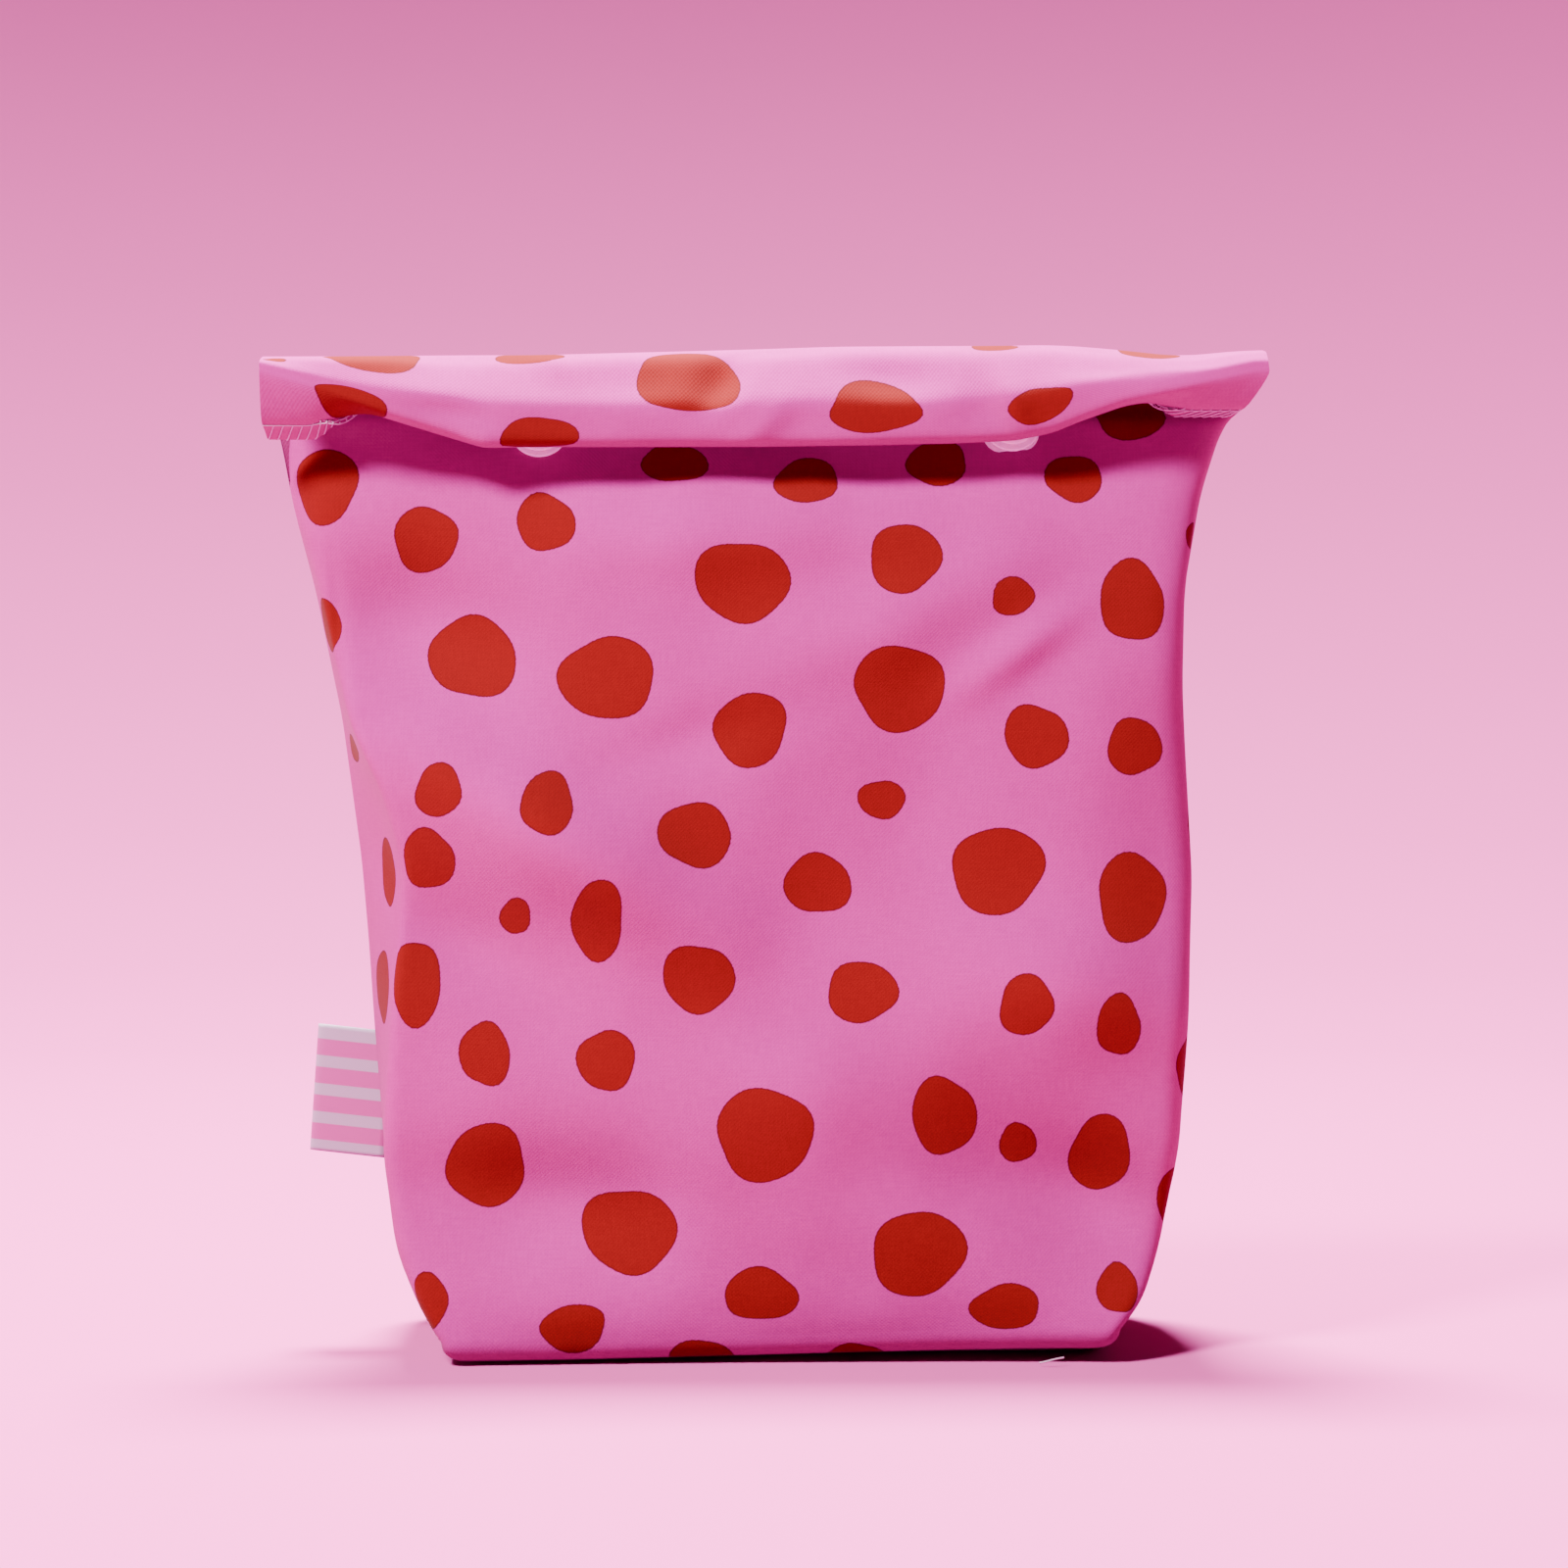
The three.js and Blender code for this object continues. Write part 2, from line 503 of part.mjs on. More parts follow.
// The line that the label turns about, as its lower and upper ends: along the left seam, with
// room for the label's rounded end before the panels' facets
function labelRoot() {
  const reach = (z) => {
    const row = Math.max(1, RING_SHARES.findIndex((share) => share * NECK_HEIGHT >= z));
    const [low, high] = [RING_SHARES[row - 1], RING_SHARES[row]];
    return THREE.MathUtils.mapLinear(z / NECK_HEIGHT, low, high,
      levelAt(low).halfWidth, levelAt(high).halfWidth);
  };
  const [bottom, top] = [LABEL_BOTTOM, LABEL_BOTTOM + LABEL_HEIGHT];
  const straight = (z) => THREE.MathUtils.mapLinear(z, bottom, top, reach(bottom), reach(top));
  const between = RING_SHARES.map((share) => share * NECK_HEIGHT).filter((z) => z > bottom && z < top);
  const bow = Math.max(0, ...between.map((z) => reach(z) - straight(z)));
  const room = bow + CLEAR + RIBBON_FOLD / 2;
  return [bottom, top].map((z) => new THREE.Vector2(-(reach(z) + room), z));
}

// Label: a ribbon folded double, with its fold outwards. Its cut ends lie along the left side seam
// and are rounded about the line that it turns on.
function addLabel([lower, upper]) {
  const half = RIBBON_FOLD / 2;
  const bend = half - RIBBON;
  const spare = LABEL_HEIGHT / 2;
  const foldAt = half - LABEL_LENGTH;
  const outline = new THREE.Shape();
  outline.moveTo(spare, -half);
  outline.lineTo(spare, -bend);
  outline.lineTo(foldAt, -bend);
  outline.absarc(foldAt, 0, bend, -Math.PI / 2, Math.PI / 2, true);
  outline.lineTo(spare, bend);
  outline.lineTo(spare, half);
  outline.lineTo(foldAt, half);
  outline.absarc(foldAt, 0, half, Math.PI / 2, (3 * Math.PI) / 2, false);
  const ribbon = new THREE.ExtrudeGeometry(outline,
    { depth: LABEL_HEIGHT, bevelEnabled: false, curveSegments: 5 });
  const middle = lower.clone().add(upper).divideScalar(2);
  ribbon.translate(0, 0, -LABEL_HEIGHT / 2).rotateY(THREE.MathUtils.degToRad(LABEL_TILT));
  ribbon.translate(middle.x, 0, middle.y);
  const reach = 2 * LABEL_HEIGHT;
  const lean = Math.atan2(upper.x - lower.x, upper.y - lower.y);
  const onLine = (geometry) => toManifold(geometry.rotateY(lean).translate(middle.x, 0, middle.y));
  const free = onLine(new THREE.BoxGeometry(reach, reach, reach).translate(-reach / 2, 0, 0));
  const round = onLine(new THREE.CylinderGeometry(half, half, reach, ROOT_SIDES).rotateX(Math.PI / 2));
  addPiece('side_label', toGeometry(toManifold(ribbon).intersect(free.add(round))), ribbonCloth);
}

addPanels();
addSideSeams();
addBaseSeams();
addRoll();
addSnaps();
const labelLine = labelRoot();
addLabel(labelLine);

// The lines that the roll's stretches and the label turn about, in millimetres
bag.userData.hinges = {
  roll: rollStretches().map((stretch) => ({
    y: -stretch[0].at.x,
    z: stretch[0].at.y,
    inward: [-stretch[0].inward.x, stretch[0].inward.y],
  })),
  label: labelLine.map((end) => [end.x, 0, end.y]),
};

export default bag;
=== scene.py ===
# A lunch bag of spotted cotton, its mouth rolled forward and held by two press snaps.
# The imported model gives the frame. Every length here is in millimetres.
import math

import bmesh
import bpy
import numpy as np
from mathutils import Matrix, Vector


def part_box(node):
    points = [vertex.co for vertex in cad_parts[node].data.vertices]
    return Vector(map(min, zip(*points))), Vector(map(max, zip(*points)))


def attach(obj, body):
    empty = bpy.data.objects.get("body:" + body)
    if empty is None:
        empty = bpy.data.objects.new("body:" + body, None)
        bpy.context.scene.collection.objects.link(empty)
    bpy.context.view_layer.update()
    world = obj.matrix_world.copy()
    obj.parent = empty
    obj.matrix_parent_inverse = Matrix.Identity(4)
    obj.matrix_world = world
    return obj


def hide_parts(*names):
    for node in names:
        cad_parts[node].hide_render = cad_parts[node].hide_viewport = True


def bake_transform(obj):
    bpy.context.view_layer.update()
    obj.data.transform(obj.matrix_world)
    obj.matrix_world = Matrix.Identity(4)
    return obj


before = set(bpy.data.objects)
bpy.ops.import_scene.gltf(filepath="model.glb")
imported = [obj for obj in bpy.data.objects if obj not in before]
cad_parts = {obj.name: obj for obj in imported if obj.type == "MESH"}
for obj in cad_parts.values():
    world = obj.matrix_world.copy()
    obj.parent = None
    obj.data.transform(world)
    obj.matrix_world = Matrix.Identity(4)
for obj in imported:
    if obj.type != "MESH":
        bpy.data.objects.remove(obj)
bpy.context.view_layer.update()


# The paper
# The bag stands on a round sheet of pink paper, which curves up all about it in one sweep and
# darkens towards the camera. One soft light stands high at the front left, one above and behind.
METRE = 1000
EYE = (-30, -1050, 160)
AIM = (2, 0, 119)
FIELD_ANGLE = math.radians(18.1)
PAPER_NEAR = 330
PAPER_REACH = 700
PAPER_CURVE = 1600
PAPER_HEIGHT = 2600
PAPER_PINK = (0.42, 0.055, 0.228, 1)
PAPER_SHADE = (-0.75, -0.3)  # in metres, as the material reads its places
PAPER_STEPS = 12
PAPER_SIDES = 64
SHADED_PINK = (0.07, 0.013, 0.04, 1)
OVERHEAD = {"place": (-560, -600, 960), "size": 240, "power": 72}
WINDOW = {"place": (-60, 380, 1330), "size": 340, "power": 225}
SKY = 0.012


def metres(point):
    return Vector(point) / METRE


def look(thing, place, aim):
    thing.location = metres(place)
    thing.rotation_mode = "QUATERNION"
    thing.rotation_quaternion = (metres(aim) - metres(place)).to_track_quat("-Z", "Y")


def shader(name, rough):
    made = bpy.data.materials.new(name)
    made.use_nodes = True
    surface = made.node_tree.nodes["Principled BSDF"]
    surface.inputs["Roughness"].default_value = rough
    return made, made.node_tree, surface


def solid(name, shape, finish):
    mesh = bpy.data.meshes.new(name)
    shape.to_mesh(mesh)
    shape.free()
    mesh.materials.append(finish)
    mesh.shade_smooth()
    made = bpy.data.objects.new(name, mesh)
    bpy.context.scene.collection.objects.link(made)
    return made


def lamp(name, place, size, power):
    light = bpy.data.lights.new(name, "AREA")
    light.size = size / METRE
    light.energy = power
    made = bpy.data.objects.new(name, light)
    bpy.context.scene.collection.objects.link(made)
    look(made, place, AIM)


def node(tree, kind, values=None, **settings):
    """A shader node with its settings, its inputs given as values or as the sockets that feed them."""
    made = tree.nodes.new("ShaderNode" + kind)
    for name, value in settings.items():
        setattr(made, name, value)
    for socket, value in (values or {}).items():
        if isinstance(value, bpy.types.NodeSocket):
            tree.links.new(value, made.inputs[socket])
        else:
            made.inputs[socket].default_value = value
    return made


def maths(tree, operation, *values):
    return node(tree, "Math", dict(enumerate(values)), operation=operation).outputs[0]


def ramp(tree, value, start, end, low=0, high=1):
    values = {"Value": value, "From Min": start, "From Max": end, "To Min": low, "To Max": high}
    return node(tree, "MapRange", values, interpolation_type="SMOOTHSTEP").outputs["Result"]


def mixed(tree, share, first, second, blend="MIX"):
    made = node(tree, "Mix", data_type="RGBA", blend_type=blend)
    for socket, value in ((0, share), (6, first), (7, second)):
        if isinstance(value, bpy.types.NodeSocket):
            tree.links.new(value, made.inputs[socket])
        else:
            made.inputs[socket].default_value = value
    return made.outputs[2]


camera = bpy.data.objects.new("camera", bpy.data.cameras.new("camera"))
bpy.context.scene.collection.objects.link(camera)
bpy.context.scene.camera = camera
camera.data.lens = camera.data.sensor_width / 2 / math.tan(FIELD_ANGLE / 2)
look(camera, EYE, AIM)

paper_finish, tree, paper_surface = shader("pink_paper", 0.9)
forward = node(tree, "SeparateXYZ", {0: node(tree, "TexCoord").outputs["Object"]}).outputs["Y"]
lit_share = ramp(tree, forward, *PAPER_SHADE)
paper_colour = mixed(tree, lit_share, SHADED_PINK, PAPER_PINK)
tree.links.new(paper_colour, paper_surface.inputs["Base Color"])
paper_surface.inputs["Specular IOR Level"].default_value = 0.02
sweep = bmesh.new()
edge = [(0, 0), (PAPER_NEAR, 0), (PAPER_REACH, 0)]
for step in range(1, PAPER_STEPS + 1):
    turn = math.radians(90 * step / PAPER_STEPS)
    edge.append(
        (PAPER_REACH + PAPER_CURVE * math.sin(turn), PAPER_CURVE * (1 - math.cos(turn)))
    )
edge.append((PAPER_REACH + PAPER_CURVE, PAPER_HEIGHT))
line = [sweep.verts.new(metres((x, 0, z))) for x, z in edge]
for first, second in zip(line, line[1:]):
    sweep.edges.new((first, second))
bmesh.ops.spin(
    sweep,
    geom=sweep.verts[:] + sweep.edges[:],
    axis=(0, 0, 1),
    cent=(0, 0, 0),
    steps=PAPER_SIDES,
    angle=math.tau,
    use_merge=True,
)
bmesh.ops.remove_doubles(sweep, verts=sweep.verts, dist=0.0001)
bmesh.ops.recalc_face_normals(sweep, faces=sweep.faces)
paper = solid("paper", sweep, paper_finish)
if paper.data.polygons[0].normal.z < 0:
    paper.data.flip_normals()

lamp("overhead", **OVERHEAD)
lamp("window", **WINDOW)
world = bpy.data.worlds.new("studio")
bpy.context.scene.world = world
world.use_nodes = True
world.node_tree.nodes["Background"].inputs["Color"].default_value = (1, 0.97, 1, 1)
world.node_tree.nodes["Background"].inputs["Strength"].default_value = SKY


# The front and back cloth
# Thin plain-woven cotton, printed on one side with round red spots, each cut a little unevenly.
# Two cloths are sewn to each other down the sides and across the base, and stand on the boxed base.
CLOTH = 0.4
HALF_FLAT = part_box("crown_back_layer")[1].x * METRE
COLUMNS = 165
BASE_ROWS = 16
ROUND_ROWS = 5
BODY_ROWS = 158
EDGE_ROUND = 4
EDGE_LIFT = (0.8, 3)
NECK = 202
BASE_SPINE = 27
BASE_HALF = (67, 39.5)
FACE_POWER = 2.4
ROLL_ROWS = (7, 6, 6, 9, 8, 3, 4, 9)

# Height, then how far the seam and the corner lie from the middle, and the corner's depth
LEFT_SIDE = [
    (0, 67.5, 67.5, 39),
    (10, 74, 74, 36.8),
    (23, 80, 79.5, 33),
    (43, 83.5, 82.3, 30.5),
    (69, 85.5, 80.6, 27.5),
    (85, 86.5, 79, 25.5),
    (103, 88, 77.7, 23.5),
    (118, 90, 82, 21.5),
    (133, 92, 89.5, 18),
    (160, 97.5, 95, 12),
    (181, 103, 101, 6),
    (195, 106, 105, 1.5),
    (202, 106, 106, 0.65),
]
RIGHT_SIDE = [
    (0, 68, 68, 39),
    (10, 75, 75, 36.8),
    (23, 80.5, 80, 33),
    (43, 84.5, 84, 30.5),
    (69, 86.5, 86, 28),
    (100, 88.5, 87.5, 24.5),
    (140, 87, 85.5, 19.5),
    (160, 87.5, 86, 15.5),
    (181, 91, 89, 9),
    (195, 95.5, 94.5, 3.5),
    (202, 101, 101, 1.2),
]
MIDDLE_DEPTH = [
    (0, 34.6),
    (4, 35.8),
    (12, 36.8),
    (28, 37),
    (44, 34.6),
    (69, 29.6),
    (89, 27.2),
    (110, 24.9),
    (129, 22.4),
    (146, 19.9),
    (160, 17),
    (170, 14.5),
    (177, 12),
    (184, 8.7),
    (190, 5.2),
    (195, 3.3),
    (202, 1.2),
]
# Height, then how softly the cloth turns at the left corner and at the right
CORNER_ROUND = [
    (0, 3, 3),
    (20, 4, 4),
    (66, 2, 5),
    (75, 1.5, 5),
    (130, 1.5, 6),
    (150, 5, 7),
    (202, 9, 9),
]
# Folds and hollows: middle across and up, half length, half width, height, and the turn of its length
FRONT_FOLDS = [
    (-76, 152, 26, 17, -10.1, -8),
    (-47, 109, 38, 13, 10.1, -32),
    (-66, 88, 20, 10, -4.7, -32),
    (-48, 33, 30, 13, -8.1, -10),
    (2, 58, 26, 17, 5.4, 8),
    (62, 34, 26, 13, -8.8, -20),
    (62, 76, 30, 16, 8.1, -8),
    (51, 148, 15, 4.5, 2.7, 35),
    (86, 105, 42, 12, -4.1, 84),
    (-10, 172, 34, 9, 3.4, 4),
    (16, 100, 42, 18, -3.4, 55),
    (30, 156, 28, 9, 2.7, 24),
    (-20, 128, 22, 7, -2, 20),
]
BACK_FOLDS = [
    (60, 150, 22, 12.2, -5.2, 14),
    (20, 110, 34, 7.8, 4.1, 24),
    (-46, 84, 26, 7.8, -3.8, -30),
    (48, 44, 28, 7.8, -4.5, 14),
    (-60, 42, 24, 7.8, -4.5, -14),
    (-4, 38, 28, 10.4, 3.8, 0),
    (-30, 150, 26, 7, 2.8, -22),
]
ROLL_FOLDS = [
    (-12, 232, 8, 4.5, -1.9, -60),
    (-3, 243, 8, 3.5, 0.9, -55),
    (-66, 240, 9, 4, -0.8, -14),
    (-60, 247, 5, 5, 1, 70),
    (44, 238, 6, 6, -1.1, 80),
    (51, 238, 9, 3, 1, 75),
    (24, 231, 12, 4, -0.9, 10),
    (-34, 232, 16, 5, -0.6, 0),
    (-46, 226, 7, 4, 0.6, 40),
    (72, 234, 12, 4, -0.8, 12),
]
RIPPLE = 0.22
FOLD_EASE = 12


def folded(across, up, folds):
    """How far the folds lift the cloth at places across and up it, with a faint ripple all over."""
    fine = np.sin(across / 5.1 + up / 9.3) * np.sin(up / 6.7 - across / 13)
    lift = RIPPLE * (fine + np.sin(across / 11 - up / 8.1))
    for middle, height, length, width, rise, turn in folds:
        lean = math.radians(turn)
        p = (across - middle) * math.cos(lean) + (up - height) * math.sin(lean)
        q = (up - height) * math.cos(lean) - (across - middle) * math.sin(lean)
        lift = lift + rise * np.exp(-((p / length) ** 2) - (q / width) ** 2)
    return lift * np.clip((HALF_FLAT - np.abs(across)) / FOLD_EASE, 0, 1)


def eased(at, table, column, reach=4):
    """Reads one column of a table, with its bends rounded off over the reach."""
    stations = [row[0] for row in table]
    values = [row[column] for row in table]
    shifts = np.linspace(-reach, reach, 9)
    return np.mean([np.interp(at + shift, stations, values) for shift in shifts], axis=0)


def smooth(at, start, end):
    """Rises gently from 0 at the start to 1 at the end."""
    t = np.clip((at - start) / (end - start), 0, 1)
    return t * t * (3 - 2 * t)


def stretched(at, stations, values):
    """Reads a line of points, and goes straight on past its two ends."""
    inside = np.interp(at, stations, values)
    first = (values[1] - values[0]) / (stations[1] - stations[0])
    last = (values[-1] - values[-2]) / (stations[-1] - stations[-2])
    inside = np.where(at < stations[0], values[0] + (at - stations[0]) * first, inside)
    return np.where(at > stations[-1], values[-1] + (at - stations[-1]) * last, inside)


flat_across = np.linspace(-HALF_FLAT, HALF_FLAT, COLUMNS)


def section(height, folds):
    """How far across and how deep the cloth lies at one height, from the left seam to the right."""
    seam_l, corner_l, depth_l = [float(eased(height, LEFT_SIDE, k)) for k in (1, 2, 3)]
    seam_r, corner_r, depth_r = [float(eased(height, RIGHT_SIDE, k)) for k in (1, 2, 3)]
    middle = float(eased(height, MIDDLE_DEPTH, 1))
    soft_l, soft_r = [float(eased(height, CORNER_ROUND, k)) for k in (1, 2)]
    turn_l = min(corner_l, HALF_FLAT - 0.5)
    turn_r = min(corner_r, HALF_FLAT - 0.5)
    stations = [-HALF_FLAT, -turn_l, turn_r, HALF_FLAT]
    soft = soft_l + (soft_r - soft_l) * smooth(flat_across, -40, 40)
    across = np.zeros(COLUMNS)
    depth = np.zeros(COLUMNS)
    shifts = np.linspace(-1, 1, 11)
    for shift in shifts:
        at = flat_across + shift * soft
        across += stretched(at, stations, [-seam_l, -corner_l, corner_r, seam_r])
        part = np.clip(np.where(at < 0, -at / turn_l, at / turn_r), 0, 1)
        corner = np.where(at < 0, depth_l, depth_r)
        face = middle + (corner - middle) * part**FACE_POWER
        side = stretched(at, stations, [0, depth_l, depth_r, 0])
        depth += np.where((at < -turn_l) | (at > turn_r), side, face)
    lift = folded(flat_across, height, folds) * smooth(height, 0, FOLD_EASE)
    lift = lift * smooth(height, NECK, NECK - FOLD_EASE)
    return across / len(shifts), depth / len(shifts) + lift


def body_sheet(folds):
    """The base, the rounded lower edge and the standing sides, as rows of places across, deep and up."""
    rows = []
    ring_across, ring_depth = section(EDGE_ROUND, folds)
    spine = np.clip(ring_across, -BASE_SPINE, BASE_SPINE)

    def inset(by):
        return ring_across * (1 - by / BASE_HALF[0]), ring_depth * (1 - by / BASE_HALF[1])

    flat_ring = inset(EDGE_ROUND)
    for step in range(BASE_ROWS):
        t = step / BASE_ROWS
        across = spine + (flat_ring[0] - spine) * t
        rows.append((across, flat_ring[1] * t, np.zeros(COLUMNS)))
    for step in range(ROUND_ROWS):
        turn = math.pi / 2 * step / ROUND_ROWS
        across, depth = inset(EDGE_ROUND * (1 - math.sin(turn)))
        rows.append((across, depth, np.full(COLUMNS, EDGE_ROUND * (1 - math.cos(turn)))))
    for height in np.linspace(EDGE_ROUND, NECK, BODY_ROWS):
        rows.append((*section(height, folds), np.full(COLUMNS, height)))
    across, depth, up = np.array(rows).transpose(1, 0, 2)
    lifted = EDGE_LIFT[0] + (EDGE_LIFT[1] - EDGE_LIFT[0]) * smooth(across, -60, 66)
    up = up + lifted * smooth(depth, 16, 36) * smooth(up, 18, 2)
    return np.stack([across, depth, up], axis=2)


# The rolled mouth, as places forward and up on its outer face: over the top, down the lip and under
ROLL_MIDDLE = [
    (-0.85, 202), (-0.85, 210.4), (4.6, 211.6), (10.2, 209.4), (17.3, 199.6),
    (16.9, 191.1), (14.1, 190.5), (10.6, 190.4), (7.2, 199.5),
]
ROLL_LEFT = [
    (-0.85, 202), (-0.85, 210.4), (7, 211.2), (15.2, 210.2), (18.4, 207.5),
    (19, 204.8), (14.8, 195.4), (12.3, 194.2), (9.3, 192),
]
ROLL_RIGHT = [
    (-0.85, 202), (-0.85, 210.4), (7, 211.4), (15.4, 210.6), (18.8, 208.2),
    (19.2, 205.4), (14.8, 198.5), (12.3, 198), (9.3, 197),
]
ROLL_TOP = 211.5
ROLL_LIP = 191.2
# Where the cloth lies across, then the height of the roll's top or of its lip there
TOP_LINE = [
    (-106, 210), (-50, 210.2), (-10, 211.3), (14, 212.1), (45, 212.3), (62, 212.5), (75, 211.5),
    (88, 210.1), (103, 211.4),
]
LIP_LINE = [
    (-106, 205.2), (-95, 202.2), (-80, 196.9), (-60.5, 190.9), (-52, 191.1), (-4, 191.2), (23, 191.6),
    (40, 192), (52, 192.6), (60, 194.2), (66, 196.6), (75, 199.7), (88, 202.4), (103, 205.6),
]
HANG_RISE = {"left": (80, 97), "right": (74, 96)}
SHAPE_EASE = (58, 100)
RIGHT_PULL = [0, 0, 0, 0, 0, 0, 4, 6, 8]
ROLL_HALF = {
    "left": (106, 107.5, 108, 108, 108, 108, 108, 107.5, 107),
    "right": (101, 102, 103, 103, 103, 103.4, 103, 103, 103),
}
ROLL_FLAT = (202, 211.4, 219, 227, 235.7, 248, 252, 256, 266.5)
INNER_GAP = 1.0
HEM_GAP = 2.4


def roll_sheet():
    """The rows of the roll's outer face, up the back, over the top, down the lip and under."""
    far = np.abs(flat_across)
    left = flat_across < 0
    share = smooth(far, *SHAPE_EASE)
    hang = np.where(left, smooth(far, *HANG_RISE["left"]), smooth(far, *HANG_RISE["right"]))
    top = eased(flat_across, TOP_LINE, 1, 5) - ROLL_TOP
    lip = eased(flat_across, LIP_LINE, 1, 1.5)
    nodes = []
    for k, middle in enumerate(ROLL_MIDDLE):
        end = [np.where(left, ROLL_LEFT[k][d], ROLL_RIGHT[k][d]) for d in (0, 1)]
        if k in (1, 2, 3):
            forward = middle[0] + (end[0] - middle[0]) * share
            up = middle[1] + (end[1] - middle[1]) * share + top
        elif k in (4, 5):
            forward = middle[0] + (end[0] - middle[0]) * share
            up = lip if k == 5 else lip + (ROLL_MIDDLE[4][1] - ROLL_LIP) * (1 - share) + 3 * share
        else:
            forward = middle[0] + (end[0] - middle[0]) * hang
            up = middle[1] + (lip - ROLL_LIP) * (k > 5)
            up = up + (end[1] - up) * hang
        half = np.where(left, ROLL_HALF["left"][k], ROLL_HALF["right"][k])
        across = flat_across / HALF_FLAT * half
        nodes.append((across - RIGHT_PULL[k] * hang * ~left, forward, up))
    nodes = np.array(nodes).transpose(0, 2, 1)
    rows = [nodes[0]]
    for k, count in enumerate(ROLL_ROWS):
        for step in range(1, count + 1):
            rows.append(nodes[k] + (nodes[k + 1] - nodes[k]) * step / count)
    rows = np.array(rows)
    for _ in range(3):
        rows[1:-1] = (rows[:-2] + 2 * rows[1:-1] + rows[2:]) / 4
    return rows


NECK_EASE = (196, NECK)
HEM_EASE = (5, 7)


def spread(steps, values):
    """A value for each row of the roll, from the values at its nodes."""
    ends = np.concatenate([[0], np.cumsum(steps)])
    return np.interp(np.arange(ends[-1] + 1), ends, values)


def facing(places, outward):
    """The way each point of a sheet faces, from the run of its rows and columns."""
    across = np.gradient(places, axis=1)
    along = np.gradient(places, axis=0)
    way = np.cross(across, along) if outward == "front" else np.cross(along, across)
    return way / np.maximum(np.linalg.norm(way, axis=2, keepdims=True), 1e-9)


def in_space(sheet):
    return np.stack([sheet[..., 0], -sheet[..., 1], sheet[..., 2]], axis=2)


roll_up = spread(ROLL_ROWS, ROLL_FLAT)[:, None]
roll = in_space(roll_sheet())
roll_lift = folded(flat_across[None], roll_up, ROLL_FOLDS)
roll_lift = roll_lift * smooth(roll_up, 219, 226) * smooth(roll_up, 252, 247)
roll = roll + facing(roll, "back") * roll_lift[..., None]
roll_faces = facing(roll, "back")
hem_share = smooth(spread(ROLL_ROWS, range(len(ROLL_FLAT))), *HEM_EASE)[:, None]
end_share = smooth(HALF_FLAT - np.abs(flat_across), 0.5, 8)[None, :]
inner_gap = INNER_GAP + (HEM_GAP - INNER_GAP) * hem_share * end_share
inner_roll = roll - roll_faces * inner_gap[..., None]

cloths = {}
halves = (("front", 1, FRONT_FOLDS, inner_roll), ("back", -1, BACK_FOLDS, roll))
for side, turn, folds, mouth in halves:
    standing = body_sheet(folds)
    standing[..., 1] = (standing[..., 1] + CLOTH) * turn
    standing = in_space(standing)
    ease = smooth(standing[..., 2], *NECK_EASE)[..., None]
    joined = mouth[0][None].repeat(len(standing), axis=0)
    joined[..., 2] = standing[..., 2]
    standing = standing + (joined - standing) * ease
    places = np.concatenate([standing[:-1], mouth])
    cloths[side] = {"places": places, "faces": facing(places, side)}
flat_up = np.concatenate(
    [
        np.linspace(-40, -1.7, BASE_ROWS, endpoint=False),
        np.linspace(-1.7, EDGE_ROUND, ROUND_ROWS, endpoint=False),
        np.linspace(EDGE_ROUND, NECK, BODY_ROWS)[:-1],
        spread(ROLL_ROWS, ROLL_FLAT),
    ]
)

